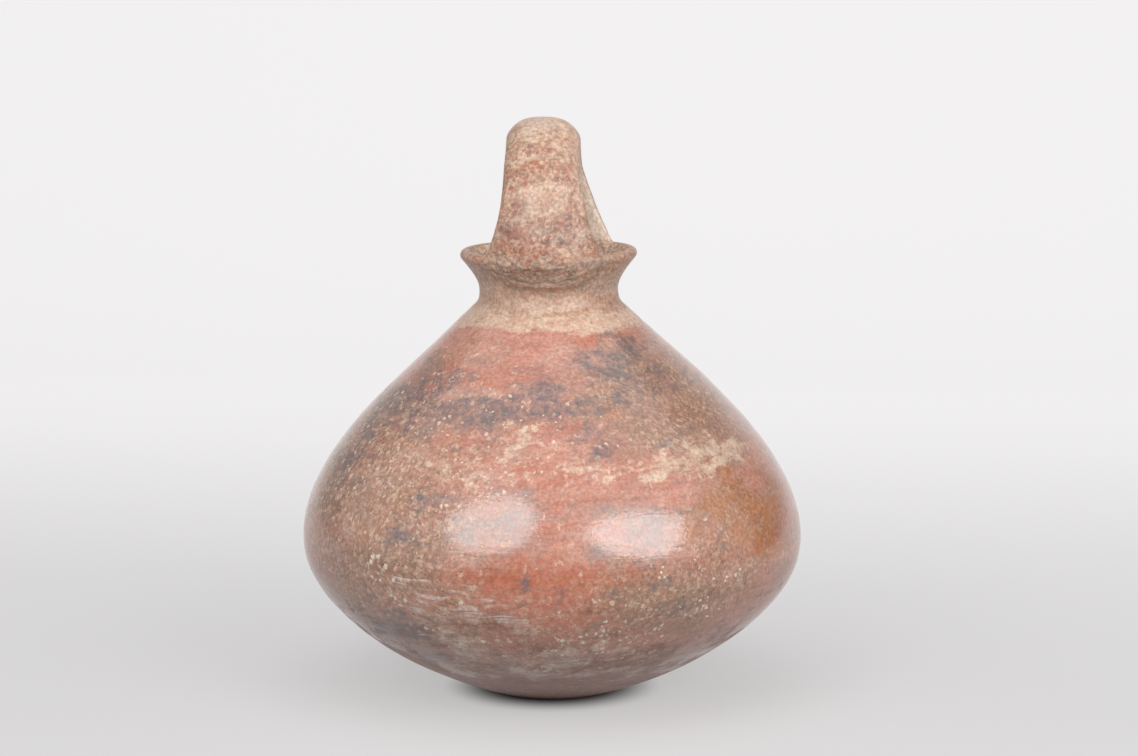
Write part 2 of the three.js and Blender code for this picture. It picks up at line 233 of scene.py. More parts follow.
EMBER = [
    (560, 600, 60, 30, .9), (520, 575, 70, 14, .9), (640, 578, 30, 12, .7), (590, 340, 18, 6, 1),
    (470, 602, 50, 16, .6), (500, 380, 40, 14, .5), (450, 440, 30, 14, .6), (560, 470, 50, 16, .4),
    (610, 620, 36, 12, .6), (560, 500, 22, 44, .4), (430, 480, 30, 12, .4), (700, 470, 26, 8, .4),
    (540, 642, 80, 14, .5), (640, 640, 50, 10, .4),
]
# Painted highlights: a greyer ground where the lamps' highlights fall on the belly
BODY_PAINTED_HIGHLIGHTS = [(495, 525, 46, 32, .7), (636, 532, 52, 30, .65), (520, 500, 20, 20, .4)]
# Painted light: pale marks on the lit top of the handle, its two highlights, its lit right edge and the
# highlights on the neck
TOP_PAINTED_LIGHT = [
    (545, 122, 40, 8, .8), (535, 203, 12, 14, .7), (562, 200, 8, 14, .6), (530, 308, 24, 6, .7),
    (576, 306, 20, 6, .7), (480, 300, 30, 12, .4), (590, 176, 6, 14, .4), (579, 145, 3, 18, .5),
    (581, 178, 3, 20, .5), (586, 206, 3, 16, .5), (590, 228, 3, 14, .5),
]
TOP_CREAM = [
    (545, 138, 32, 5, .95), (535, 160, 28, 6, .7), (545, 185, 16, 6, .8), (568, 256, 10, 6, .95),
    (560, 165, 14, 8, .5), (515, 145, 8, 12, .6), (510, 190, 6, 10, .4), (520, 206, 8, 6, .4),
    (578, 244, 5, 8, .5), (505, 238, 7, 12, .5),
]
TOP_ORANGE = [
    (514, 212, 7, 14, .9), (530, 172, 12, 6, .8), (526, 245, 14, 7, .95), (546, 254, 6, 4, .8),
    (610, 258, 11, 4, .9), (470, 262, 7, 5, .6), (560, 172, 16, 5, .4), (575, 200, 4, 14, .7),
    (520, 230, 8, 10, .5), (552, 269, 6, 3, .85), (576, 160, 4, 20, .4),
]
TOP_PLUM = [
    (530, 150, 24, 6, .6), (540, 146, 10, 4, .5), (565, 148, 3, 10, .6), (575, 200, 4, 12, .7),
    (548, 225, 14, 6, .6), (560, 235, 16, 7, .75), (575, 228, 8, 10, .5), (512, 222, 5, 10, .6),
    (610, 308, 12, 8, .6), (500, 312, 16, 6, .4), (528, 172, 14, 8, .4), (560, 126, 10, 5, .4),
    (545, 292, 40, 4, .3), (552, 230, 34, 18, .95), (520, 225, 14, 20, .75), (545, 176, 34, 14, .35),
    (570, 190, 10, 30, .5),
]
TOP_SMOKE = [
    (540, 126, 14, 4, .6), (530, 264, 28, 7, .8), (505, 270, 24, 7, .8), (568, 283, 26, 4, .85),
    (545, 275, 60, 9, .6), (500, 280, 24, 5, .6), (536, 240, 5, 4, .75), (615, 285, 8, 9, .6),
    (470, 275, 8, 5, .5), (600, 270, 12, 6, .5), (566, 236, 12, 8, .7), (545, 287, 66, 8, .8),
    (540, 236, 14, 5, .5),
]


# Outline of the wall, as (radius, height) points

def heading(degrees):
    angle = math.radians(degrees)
    return np.array((math.cos(angle), math.sin(angle)))


def stretch(start, start_heading, start_reach, end, end_heading, end_reach, count=400):
    """A smooth stretch of outline that leaves start and reaches end along the given headings."""
    start, end = np.array(start), np.array(end)
    leaving = start + heading(start_heading) * start_reach
    arriving = end - heading(end_heading) * end_reach
    t = np.linspace(0, 1, count)[:, None]
    return (start * (1 - t) ** 3 + leaving * 3 * t * (1 - t) ** 2
            + arriving * 3 * t ** 2 * (1 - t) + end * t ** 3)


LIP_CAP = LIP_THICKNESS / 2
LIP_RADIUS = THROAT_RADIUS + LIP_OVERHANG
THROAT_HEIGHT = BODY_HEIGHT + THROAT_RISE
LIP_CREST = THROAT_HEIGHT + LIP_RISE
LIP_CENTRE = np.array((LIP_RADIUS - LIP_CAP, LIP_CREST - LIP_CAP))
BASE_EDGE = (BASE_RADIUS, 0)
BELLY = (BELLY_RADIUS, BELLY_HEIGHT)
NECK_ROOT = (THROAT_RADIUS + NECK_ROOT_SPREAD, BODY_HEIGHT)
THROAT = (THROAT_RADIUS, THROAT_HEIGHT)
FLARE_END = LIP_CENTRE + heading(LIP_FLARE - 90) * LIP_CAP

STRETCHES = [
    stretch(BASE_EDGE, LOWER_WALL_RISE, LOWER_WALL_REACH, BELLY, 90, BELLY_ROUND_BELOW),
    stretch(BELLY, 90, BELLY_ROUND_ABOVE, NECK_ROOT, 180 - SHOULDER_SLOPE, SHOULDER_REACH),
    stretch(NECK_ROOT, 180 - SHOULDER_SLOPE, NECK_ROOT_REACH, THROAT, 90, THROAT_ROUND_BELOW),
    stretch(THROAT, 90, THROAT_ROUND_ABOVE, FLARE_END, LIP_FLARE, LIP_FLARE_REACH),
]


def lengths_along(points):
    steps = np.linalg.norm(np.diff(points, axis=0), axis=1)
    return np.concatenate(([0], np.cumsum(steps)))


OUTLINE = np.concatenate([STRETCHES[0]] + [curve[1:] for curve in STRETCHES[1:]])
ALONG = lengths_along(OUTLINE)
OUTLINE_LENGTH = ALONG[-1]
THROAT_AT = OUTLINE_LENGTH - lengths_along(STRETCHES[3])[-1]
NECK_ROOT_AT = THROAT_AT - lengths_along(STRETCHES[2])[-1]


def place_along(distance, along, line):
    return np.array([np.interp(distance, along, line[:, axis]) for axis in (0, 1)])


def outer_point(distance):
    return place_along(distance, ALONG, OUTLINE)


def outer_radius(height):
    return np.interp(height, OUTLINE[:, 1], OUTLINE[:, 0])


def inward_normal(distance):
    near = 0.3 * MM
    along = outer_point(min(distance + near, OUTLINE_LENGTH)) - outer_point(max(distance - near, 0))
    return np.array((-along[1], along[0])) / np.linalg.norm(along)


def inner_point(distance):
    up_neck = np.clip((distance - NECK_ROOT_AT) / (OUTLINE_LENGTH - NECK_ROOT_AT), 0, 1)
    thickness = WALL + (LIP_THICKNESS - WALL) * up_neck
    return outer_point(distance) + inward_normal(distance) * thickness


def points_along(make_point, start, end, row=ROW_HEIGHT):
    rows = max(2, round(abs(end - start) / row))
    return [make_point(distance) for distance in np.linspace(start, end, rows + 1)]


def outer_rows(start, end):
    """Rows up the outer face, with a thin one at each end so that neighbouring rings shade alike."""
    places = np.linspace(start, end, round((end - start) / ROW_HEIGHT) + 1)
    places = np.concatenate(([start, start + THIN_ROW], places[1:-1], [end - THIN_ROW, end]))
    return [outer_point(distance) for distance in places]


def lip_cap(steps=10):
    turns = np.linspace(LIP_FLARE - 90, LIP_FLARE + 90, steps + 1)[1:-1]
    return [LIP_CENTRE + heading(turn) * LIP_CAP for turn in turns]


# Unevenness of hand building, the same for every piece so that neighbours still meet

LEAN_OF_NECK = -1.5 * MM
NECK_LEANS_FROM = 150 * MM
NECK_LEANS_BY = 200 * MM
RIM_TILT = 0.014
RIM_LIFT = 0.55 * MM
RIM_SPREAD = 0.6 * MM
INWARD_BIAS = 0.3 * MM
STEADY_BASE = 12 * MM
LEAST_RADIUS = 20 * MM

# Waves per metre along X, Y and Z, height in millimetres, start
HAND_WAVES = [
    ((4.1, 2.3, 3.0), 0.26, 0.4), ((-3.2, 5.2, 6.1), 0.22, 2.1), ((7.5, -4.4, 9.0), 0.16, 4.0),
    ((-8.3, -6.1, 12.0), 0.13, 1.2), ((12.0, 9.0, -16.0), 0.09, 5.3), ((3.0, -13.0, 21.0), 0.08, 3.3),
    ((18.0, -11.0, 34.0), 0.05, 0.9), ((-14.0, 20.0, 43.0), 0.04, 2.7),
]

# Bands of height: where one starts, where it is whole, where it ends and how long it takes to fade there
RIM_BAND = (195 * MM, 210 * MM, 232 * MM, 15 * MM)
PRESSED_BAND = (197 * MM, 200 * MM, 224 * MM, 10 * MM)


def smooth_step(value, low, high):
    share = np.clip((value - low) / (high - low), 0, 1)
    return share * share * (3 - 2 * share)


def between(first, second, share):
    return first + (second - first) * share


def in_band(height, start, whole, end, fade):
    return smooth_step(height, start, whole) * smooth_step(end - height, 0, fade)


def swells(points, fineness=1, later=0):
    """Slow uneven swells, about 1 at the highest."""
    total = np.zeros(len(points))
    for waves, height, start in HAND_WAVES:
        total += height * np.sin(2 * math.pi * fineness * points @ np.array(waves) + start + later)
    return total


def from_axis(points):
    return np.hypot(points[:, 0], points[:, 1])


def hand_built(points):
    """Moves points of the even jar to where the potter's hands left them."""
    height = points[:, 2]
    on_rim = in_band(height, *RIM_BAND)
    push = (swells(points) * MM - INWARD_BIAS) * smooth_step(height, 0, STEADY_BASE) + RIM_SPREAD * on_rim
    moved = points.copy()
    moved[:, :2] *= (1 + push / np.maximum(from_axis(points), LEAST_RADIUS))[:, None]
    moved[:, 0] += LEAN_OF_NECK * smooth_step(height, NECK_LEANS_FROM, NECK_LEANS_BY)
    moved[:, 2] += (RIM_LIFT + RIM_TILT * points[:, 0]) * on_rim
    return moved


# Meshes

def points_of(mesh):
    points = np.empty(len(mesh.vertices) * 3)
    mesh.vertices.foreach_get("co", points)
    return points.reshape(-1, 3)


def normals_of(mesh):
    normals = np.empty(len(mesh.vertices) * 3)
    mesh.vertex_normals.foreach_get("vector", normals)
    return normals.reshape(-1, 3)


def new_piece(name, bm, materials):
    mesh = bpy.data.meshes.new(name)
    bm.to_mesh(mesh)
    bm.free()
    mesh.shade_smooth()
    mesh.set_sharp_from_angle(angle=math.radians(SHARP_EDGE))
    for material in materials:
        mesh.materials.append(material)
    piece = bpy.data.objects.new(name, mesh)
    bpy.context.collection.objects.link(piece)
    return piece


def shape_by_hand(mesh):
    mesh.vertices.foreach_set("co", hand_built(points_of(mesh)).ravel())
    mesh.update()


def whole(bm):
    return bm.verts[:] + bm.edges[:] + bm.faces[:]


def spun(profile, closed, steps=ROUND_STEPS):
    """Turns a profile of (radius, height) points into a body about the jar's axis.

    One sector is spun, then copies of it are turned into place, which is much quicker than one long spin.
    """
    bm = bmesh.new()
    verts = [bm.verts.new((r, 0, z)) for r, z in profile]
    edges = [bm.edges.new(pair) for pair in zip(verts, verts[1:])]
    if closed:
        edges.append(bm.edges.new((verts[-1], verts[0])))
    sector = 2 * math.pi / SECTORS
    about = {"cent": (0, 0, 0), "axis": (0, 0, 1)}
    bmesh.ops.spin(bm, geom=verts + edges, angle=sector, steps=steps // SECTORS, **about)
    bmesh.ops.spin(bm, geom=whole(bm), angle=2 * math.pi - sector,
                   steps=SECTORS - 1, use_duplicate=True, **about)
    bmesh.ops.remove_doubles(bm, verts=bm.verts, dist=TOUCHING)
    bmesh.ops.recalc_face_normals(bm, faces=bm.faces)
    return bm


def ring_profile(start, end, top_lap=JOINT_LAP):
    return outer_rows(start, end) + points_along(inner_point, end + top_lap, start + JOINT_LAP, INNER_ROW)


def pad_profile():
    floor = np.linspace((0, 0), BASE_EDGE, PAD_STEPS)[:-1]
    well = np.linspace(inner_point(0), (0, BASE_THICKNESS), PAD_STEPS)[1:]
    return (list(floor) + outer_rows(0, PAD_TURN_UP)
            + points_along(inner_point, PAD_TURN_UP + JOINT_LAP, 0) + list(well))


def outside_share(points):
    """1 on the outer face, 0 on the inner face and in the joints."""
    return np.clip((from_axis(points) - outer_radius(points[:, 2]) + SKIN_DEPTH) / SKIN_FADE, 0, 1)


# Strap handle, run together with the rim and the wads round its feet like wet clay

FOOT_RADIUS = LIP_CENTRE[0]
ARCH_HEIGHT = LIP_CREST + HANDLE_RISE - STRAP_THICKNESS / 2
STRAP_CUT = LIP_CREST + CUT_ABOVE_LIP
SPREAD = math.asin(WAD_WIDTH / 2 / LIP_RADIUS)

# How far the feet reach round the rim and up from the throat
FEET_REACH = 1.45 * SPREAD
FEET_FADE = 0.4 * SPREAD
FEET_START = THROAT_HEIGHT + 1.5 * MM
FEET_RISE = 3 * MM
FEET_SOFT_TO = LIP_CREST + 12 * MM

# Rounds of smoothing and how near to the feet each goes
SOFTENING = [(4, 0.3), (10, 0.8)]
LAST_SOFTENING = 2

LOWER_CREASE = 200.6 * MM
LOWER_CREASE_WIDTH = 0.9 * MM
UPPER_CREASE = 207.4 * MM
UPPER_CREASE_WIDTH = 0.8 * MM


def strap_centreline(count):
    """Points along the strap's centreline in the (Y, Z) plane, from below the front lip to the rear."""
    lean = heading(90 - LEG_LEAN)
    foot = np.array((-FOOT_RADIUS, LIP_CREST))
    leg = np.linspace(foot - lean * SADDLE_DEPTH, foot, LEG_STEPS)[:-1]
    front = stretch(foot, 90 - LEG_LEAN, LEG_REACH, (0, ARCH_HEIGHT), 0, ARCH_ROUND)
    half = np.concatenate((leg, front))
    path = np.concatenate((half, half[-2::-1] * (-1, 1)))
    along = lengths_along(path)
    return place_along(np.linspace(0, along[-1], count), along, path).T


def rounded_power(value):
    return math.copysign(abs(value) ** (2 / STRAP_FULLNESS), value)


def strap_section(bm, centre, along):
    """One closed loop of the strap. Towards the lip it widens, thickens and curves round the rim."""
    above = min(max((centre[1] - LIP_CREST) / FLARE_HEIGHT, 0), 1)
    flare = (1 - above) ** FLARE_POWER
    arch = smooth_step(centre[1], ARCH_HEIGHT - CROWN_FADE, ARCH_HEIGHT)
    rear = smooth_step(centre[0], -FOOT_RADIUS, FOOT_RADIUS)
    foot_width = between(FOOT_WIDTH, REAR_FOOT_WIDTH, rear)
    half_width = between(STRAP_WIDTH, foot_width, flare) / 2
    half_thickness = between(STRAP_THICKNESS, FOOT_THICKNESS, flare) / 2
    shift = between(SHIFT_OF_FRONT_LEG, SHIFT_OF_REAR_LEG, rear) * (1 - flare)
    shift += LEAN_OF_ARCH * smooth_step(centre[1], LIP_CREST + LEAN_STARTS, LIP_CREST + LEAN_ENDS)
    crown = between(CROWN_OF_LEG, CROWN_OF_ARCH, arch) * (1 - flare)
    outward = np.array((-along[1], along[0]))
    verts = []
    for turn in np.linspace(0, 2 * math.pi, STRAP_SIDES, endpoint=False):
        share = rounded_power(math.sin(turn))
        face = rounded_power(math.cos(turn))
        across = half_width * share
        curve_back = flare * (FOOT_RADIUS - math.sqrt(FOOT_RADIUS ** 2 - across ** 2))
        bow = crown * abs(share) ** (OUTER_BOW if face > 0 else INNER_BOW)
        swell = 1 if face > 0 else INNER_SWELL
        place = centre + outward * (half_thickness * swell * face - curve_back - bow)
        verts.append(bm.verts.new((across + shift, *place)))
    return [bm.edges.new(pair) for pair in zip(verts, verts[1:] + verts[:1])]


def add_strap(bm):
    centres = strap_centreline(STRAP_SECTIONS)
    tangents = np.gradient(centres, axis=0)
    tangents /= np.linalg.norm(tangents, axis=1)[:, None]
    loops = [strap_section(bm, centre, along) for centre, along in zip(centres, tangents)]
    for lower, upper in zip(loops, loops[1:]):
        bmesh.ops.bridge_loops(bm, edges=lower + upper)
    for end in (loops[0], loops[-1]):
        bmesh.ops.contextual_create(bm, geom=end)


def over_the_lip():
    """The line that a wad of clay follows over the lip, from outside the neck to inside."""
    line = np.array(points_along(outer_point, OUTLINE_LENGTH - WAD_REACH_OUTSIDE, OUTLINE_LENGTH)
                    + lip_cap()
                    + points_along(inner_point, OUTLINE_LENGTH, OUTLINE_LENGTH - WAD_REACH_INSIDE))
    return line, lengths_along(line)


def add_wad(bm, middle):
    line, along = over_the_lip()
    near = 0.5 * MM
    wad = bmesh.ops.create_uvsphere(bm, u_segments=40, v_segments=30, radius=1)["verts"]
    for vert in wad:
        across, upwards, proud = vert.co
        distance = (upwards + 1) / 2 * along[-1]
        place = place_along(distance, along, line)
        onward = place_along(distance + near, along, line) - place_along(distance - near, along, line)
        tangent = onward / np.linalg.norm(onward)
        flat_top = 1 - (1 - proud * proud) ** 2
        swell = WAD_THICKNESS * flat_top if proud > 0 else WAD_SINK * proud
        radius, height = place + np.array((tangent[1], -tangent[0])) * swell
        angle = middle + across * SPREAD
        vert.co = (radius * math.cos(angle), radius * math.sin(angle), height)


def rim_profile():
    start = THROAT_AT - RIM_LAP
    return (points_along(outer_point, start, OUTLINE_LENGTH) + lip_cap()
            + points_along(inner_point, OUTLINE_LENGTH, start))


def angle_from_foot(points):
    return np.abs(np.abs(np.arctan2(points[:, 1], points[:, 0])) - math.pi / 2)


def nearness_to_feet(points):
    """1 on and round the feet of the handle, 0 on the plain rim."""
    beside = np.clip((FEET_REACH - angle_from_foot(points)) / FEET_FADE, 0, 1)
    return beside * np.clip((points[:, 2] - FEET_START) / FEET_RISE, 0, 1)


def settle_on_rim(points, finer=6, batches=60):
    """Brings the plain rim back to its exact outline, away from the feet."""
    rim = np.array(rim_profile())
    rim = np.concatenate([np.linspace(a, b, finer)[:-1] for a, b in zip(rim, rim[1:])])
    settled = points.copy()
    low = np.flatnonzero(points[:, 2] < LIP_CREST + 1 * MM)
    for some in np.array_split(low, batches):
        radius = from_axis(points[some])
        away = (rim[:, 0] - radius[:, None]) ** 2 + (rim[:, 1] - points[some, 2][:, None]) ** 2
        nearest = rim[np.argmin(away, axis=1)]
        settled[some, :2] *= (nearest[:, 0] / radius)[:, None]
        settled[some, 2] = nearest[:, 1]
    free = 1 - nearness_to_feet(points)
    return points + (settled - points) * free[:, None]


def crease(height, middle, width):
    return math.exp(-((height - middle) / width) ** 2)


def press_marks(points):
    """Depth of the creases and lumps that pressing left on the outside of the feet."""
    off = angle_from_foot(points) / SPREAD
    height = points[:, 2]
    where = smooth_step(1.1 - off, 0, 0.3) * in_band(height, *PRESSED_BAND)
    depth = np.zeros(len(points))
    for index in np.flatnonzero(where > 0.01):
        place = Vector(points[index])
        waver = noise.noise(place * 160)
        lumps = noise.fractal(place * 210, 0.8, 2, 4)
        side = off[index] ** 2
        lower = crease(height[index], LOWER_CREASE + (6 * side + 1.4 * waver) * MM, LOWER_CREASE_WIDTH)
        upper = crease(height[index], UPPER_CREASE + (2 * side + 1.8 * waver) * MM, UPPER_CREASE_WIDTH)
        depth[index] = where[index] * (0.5 * lumps - 0.7 * lower - (0.3 + 0.5 * waver) * upper)
    return depth * MM


def soften(bm, verts, rounds):
    axes = {"use_axis_x": True, "use_axis_y": True, "use_axis_z": True}
    for _ in range(rounds):
        bmesh.ops.smooth_vert(bm, verts=verts, factor=0.5, **axes)


def places_of(bm):
    return np.array([vert.co for vert in bm.verts])


def blended_top():
    bm = spun(rim_profile(), True, BLEND_STEPS)
    add_strap(bm)
    add_wad(bm, -math.pi / 2)
    add_wad(bm, math.pi / 2)
    bmesh.ops.recalc_face_normals(bm, faces=bm.faces)
    rough = new_piece("blend", bm, [])
    remesh = rough.modifiers.new("run_together", "REMESH")
    remesh.mode = "VOXEL"
    remesh.voxel_size = BLEND_VOXEL
    evaluated = rough.evaluated_get(bpy.context.evaluated_depsgraph_get())
    blend = bmesh.new()
    blend.from_mesh(evaluated.to_mesh())
    evaluated.to_mesh_clear()
    bpy.data.objects.remove(rough)
    for rounds, reach in SOFTENING:
        points = places_of(blend)
        near = (nearness_to_feet(points) > reach) & (points[:, 2] < FEET_SOFT_TO)
        soften(blend, [vert for vert, chosen in zip(blend.verts, near) if chosen], rounds)
    soften(blend, blend.verts, LAST_SOFTENING)
    points = settle_on_rim(places_of(blend))
    for vert, place in zip(blend.verts, points):
        vert.co = place
    blend.normal_update()
    for vert, depth in zip(blend.verts, press_marks(points)):
        vert.co += vert.normal * depth
    return blend


def cut_level(bm, height, keep_above):
    """Cuts level at a height, drops one side and gives back the edges of the cut."""
    cut = bmesh.ops.bisect_plane(bm, geom=whole(bm), dist=TOUCHING,
                                 plane_co=(0, 0, height), plane_no=(0, 0, 1),
                                 clear_inner=keep_above, clear_outer=not keep_above)
    return [item for item in cut["geom_cut"] if isinstance(item, bmesh.types.BMEdge)]


# Camera and where it sees each point

def camera_place():
    angle = math.radians(VIEW_AZIMUTH)
    right = np.array((math.cos(angle), math.sin(angle), 0))
    place = np.array((math.sin(angle) * VIEW_DISTANCE, -math.cos(angle) * VIEW_DISTANCE, VIEW_HEIGHT))
    return place, right * AIM_SIDEWAYS + np.array((0, 0, AIM_HEIGHT))


def add_camera():
    data = bpy.data.cameras.new("camera")
    data.sensor_width = SENSOR_WIDTH
    data.lens = SENSOR_WIDTH * FOCAL_PIXELS / PHOTO_WIDTH
    camera = bpy.data.objects.new("camera", data)
    bpy.context.collection.objects.link(camera)
    place, aim = camera_place()
    camera.location = place
    camera.rotation_euler = Vector(aim - place).to_track_quat("-Z", "Y").to_euler()
    bpy.context.scene.camera = camera


def photo_place(points):
    """Where points of the jar appear in the photograph, in pixels."""
    place, aim = camera_place()
    forward = (aim - place) / np.linalg.norm(aim - place)
    side = np.cross(forward, (0, 0, 1))
    side /= np.linalg.norm(side)
    up = np.cross(side, forward)
    away = points - place
    depth = away @ forward
    return (PHOTO_WIDTH / 2 + FOCAL_PIXELS * (away @ side) / depth,
            PHOTO_HEIGHT / 2 - FOCAL_PIXELS * (away @ up) / depth)


def facing_front(points, normals, edge_on=0.03, well_seen=0.2):
    """1 on faces that look towards the camera, 0 on those that look past it or away."""
    place, _ = camera_place()
    towards = place - points
    towards /= np.linalg.norm(towards, axis=1)[:, None]
    return smooth_step(np.sum(normals * towards, axis=1), edge_on, well_seen)


# Colour fields on the clay

# Darker colour, specks and scuffs near the foot
DARKENING_TOP = 82 * MM
DARKENING_FADE = 78 * MM
LOW_WALL_TOP = 90 * MM
LOW_WALL_FADE = 40 * MM

# Cream slip from the top of the shoulder up the neck
CREAM_STARTS = 178.6 * MM
CREAM_EDGE = 2 * MM
CREAM_STRENGTH = 1.1
CREAM_ENDS = 191 * MM
CREAM_FADE = 7 * MM

# Inside of the mouth, painted pale as painted light where it lies in shade, and the side of the rear leg
# that faces the mouth, made cream and pale, partly as its own slip and partly as painted light in the
# handle's shade
MOUTH_FROM = 2.5 * MM
MOUTH_BY = 4.5 * MM
MOUTH_TOP = LIP_CREST + 1 * MM
LEVEL_FACE = 0.85
FRONT_LEG_TO = 5 * MM
REAR_LEG_FROM = 8 * MM
REAR_LEG_BY = 20 * MM
REAR_LEG_FOOT = LIP_CREST - 4 * MM
PAINTED_LIGHT_STRENGTH = 1.8
CLOUDS_IN_FRONT = 0.35

# Grit round the feet, and crumbs that thin out down the neck
GRIT_STARTS = 198 * MM
GRIT_WHOLE = 202 * MM
GRIT_ENDS = 220 * MM
GRIT_FADE = 12 * MM
GRIT_STRENGTH = 1.5
CRUMBS_START = 196 * MM
CRUMBS_WHOLE = 206 * MM
FEWEST_CRUMBS = 0.35

# Marks in front and how firm their edges are, then fineness, threshold and start of the clouds elsewhere
BODY_MARKS = {
    "smoke": (SMOKE, 1, 2.6, 0.3, 1), "brown_and_sheen": (BROWN_STAIN_AND_SHEEN, 1, 1.6, 0.25, 2),
    "ochre": (OCHRE, 1, 1.9, 0.25, 3), "cream": (CREAM, 1.5, 3.4, 0.4, 4),
    "flakes": (FLAKES, 1, 1.4, -0.15, 5), "lime": (LIME, 1.5, 3.0, 0.3, 6),
    "scuffs": (SCUFFS, 1, 2.2, 0.25, 7), "crust": (CRUST, 1.2, 1.2, 0.05, 12),
    "painted_light": (BODY_PAINTED_HIGHLIGHTS, 1, 1.3, 0.6, 13), "ember": (EMBER, 1, 1.7, 0.0, 15),
}
TOP_MARKS = {
    "cream": (TOP_CREAM, 1.2, 4.5, 0.1, 8), "ochre": (TOP_ORANGE, 1.1, 5.0, 0.2, 9),
    "plum": (TOP_PLUM, 1.1, 4.2, 0.25, 10), "smoke": (TOP_SMOKE, 1, 3.4, 0.35, 11),
    "painted_light": (TOP_PAINTED_LIGHT, 1, 2.5, 0.3, 14),
}


def daubed(x, y, marks, firmness):
    """A field that is high where the marks lie in the photograph."""
    field = np.zeros(len(x))
    for middle_x, middle_y, wide, tall, strength, *tilt in marks:
        turn = math.radians(tilt[0] if tilt else 0)
        dx, dy = x - middle_x, y - middle_y
        along = (dx * math.cos(turn) + dy * math.sin(turn)) / wide
        across = (dy * math.cos(turn) - dx * math.sin(turn)) / tall
        daub = strength * np.exp(-MARK_FALL * (along ** 2 + across ** 2) ** firmness)
        field = 1 - (1 - field) * (1 - daub)
    return field


def cloud(points, wanted, fineness, threshold, later):
    """Soft, streaky patches for the sides that the photograph does not show."""
    level = points * (1, 1, 2)
    uneven = swells(level, fineness, later) + 0.7 * swells(level, 3.1 * fineness, later + 1)
    return smooth_step(uneven, threshold, threshold + 0.7) * wanted


def wandering(points):
    """The places in the photograph, shifted a little so that the marks get uneven outlines."""
    x, y = photo_place(points)
    return x + MARK_WANDER * swells(points, 8, 1), y + MARK_WANDER * swells(points, 8, 4)


def keep_field(mesh, name, values):
    kept = mesh.attributes.new(name, "FLOAT", "POINT")
    kept.data.foreach_set("value", np.asarray(values, dtype=np.float32))


def paint_wall(mesh):
    """Lays the colour fields of the body on a ring."""
    points, normals = points_of(mesh), normals_of(mesh)
    outside = outside_share(points)
    front = facing_front(points, normals)
    unseen = (1 - front) * outside
    x, y = wandering(points)
    height = points[:, 2]
    angle = np.arctan2(points[:, 1], points[:, 0])
    low_wall = smooth_step(LOW_WALL_TOP - height, 0, LOW_WALL_FADE)
    edge = CREAM_STARTS + (0.8 * np.sin(3 * angle + 1) + 0.5 * np.sin(8 * angle)) * MM
    neck = smooth_step(height, edge - CREAM_EDGE, edge + CREAM_EDGE)
    for name, (marks, firmness, *clouds) in BODY_MARKS.items():
        wanted = unseen * low_wall if name in ("lime", "scuffs") else unseen
        field = daubed(x, y, marks, firmness) * front + cloud(points, wanted, *clouds)
        if name == "cream":
            field = np.maximum(field, CREAM_STRENGTH * neck)
        keep_field(mesh, name, field * outside)
    # Darker towards the foot
    keep_field(mesh, "low_darkening", smooth_step(DARKENING_TOP - height, 0, DARKENING_FADE) * outside)


def paint_top(mesh):
    """Lays the colour fields of the neck, the rim and the handle."""
    points, normals = points_of(mesh), normals_of(mesh)
    front = facing_front(points, normals) * (points[:, 1] < FRONT_LEG_TO)
    x, y = wandering(points)
    height = points[:, 2]
    inside = smooth_step(outer_radius(height) - from_axis(points), MOUTH_FROM, MOUTH_BY)
    inside *= (height < MOUTH_TOP) & (normals[:, 2] < LEVEL_FACE)
    under_handle = smooth_step(points[:, 1], REAR_LEG_FROM, REAR_LEG_BY)
    under_handle *= smooth_step(-normals[:, 1], 0.2, 0.6) * (height > REAR_LEG_FOOT)
    unseen = between(1, CLOUDS_IN_FRONT, front) * (1 - under_handle)
    neck = smooth_step(CREAM_ENDS - height, 0, CREAM_FADE)
    for name, (marks, firmness, *clouds) in TOP_MARKS.items():
        field = daubed(x, y, marks, firmness) * front + cloud(points, unseen, *clouds)
        # The rear leg's face under the handle is made cream, partly as painted light where it lies in
        # shade
        if name == "cream":
            field = np.maximum(np.maximum(field, neck), under_handle)
        # Painted light on the rear leg's face under the handle, which lies in shade
        if name == "painted_light":
            field = np.maximum(field, PAINTED_LIGHT_STRENGTH * under_handle)
        keep_field(mesh, name, np.clip(field, 0, PAINTED_LIGHT_STRENGTH) * (1 - inside))
    foot = 1 - np.clip(angle_from_foot(points) / SPREAD, 0, 1)
    foot = np.clip(GRIT_STRENGTH * foot * smooth_step(height, GRIT_STARTS, GRIT_WHOLE), 0, 1)
    keep_field(mesh, "grit", foot * smooth_step(GRIT_ENDS - height, 0, GRIT_FADE))
    crumbs = smooth_step(height, CRUMBS_START, CRUMBS_WHOLE)
    keep_field(mesh, "crumble", between(FEWEST_CRUMBS, 1, crumbs))
    keep_field(mesh, "inside", inside)


# Finishes

def linear(red, green, blue):
    """A colour written 0 to 255, with no level near 0, as the shader wants it."""
    return tuple(((level / 255 + 0.055) / 1.055) ** 2.4 for level in (red, green, blue)) + (1,)


BRICK_DEEP = linear(186, 112, 90)
BRICK_PALE = linear(210, 148, 126)
ROSY = linear(218, 174, 158)
ASHEN = linear(152, 128, 118)
PAINTED_LIGHT_PALE = linear(241, 218, 198)
PAINTED_HIGHLIGHT_GREY = linear(152, 140, 136)
CRUST_BROWN = linear(168, 128, 102)
CRUST_DARK = linear(112, 90, 80)
SMOKE_GREY = linear(112, 101, 102)
UMBER = linear(154, 128, 112)
FOOT_GREY = linear(178, 162, 146)
OCHRE_CLAY = linear(184, 118, 68)
CREAM_SLIP = linear(222, 194, 168)
CHALK = linear(234, 216, 196)
FLAKED = linear(230, 194, 168)
LOW_DARK_BROWN = linear(118, 66, 44)
DUST = linear(194, 158, 130)
EMBER_RED = linear(194, 104, 68)
OLIVE = linear(142, 114, 84)
SCUFF_GREY = linear(222, 208, 198)
STRAP_TAN = linear(174, 120, 96)
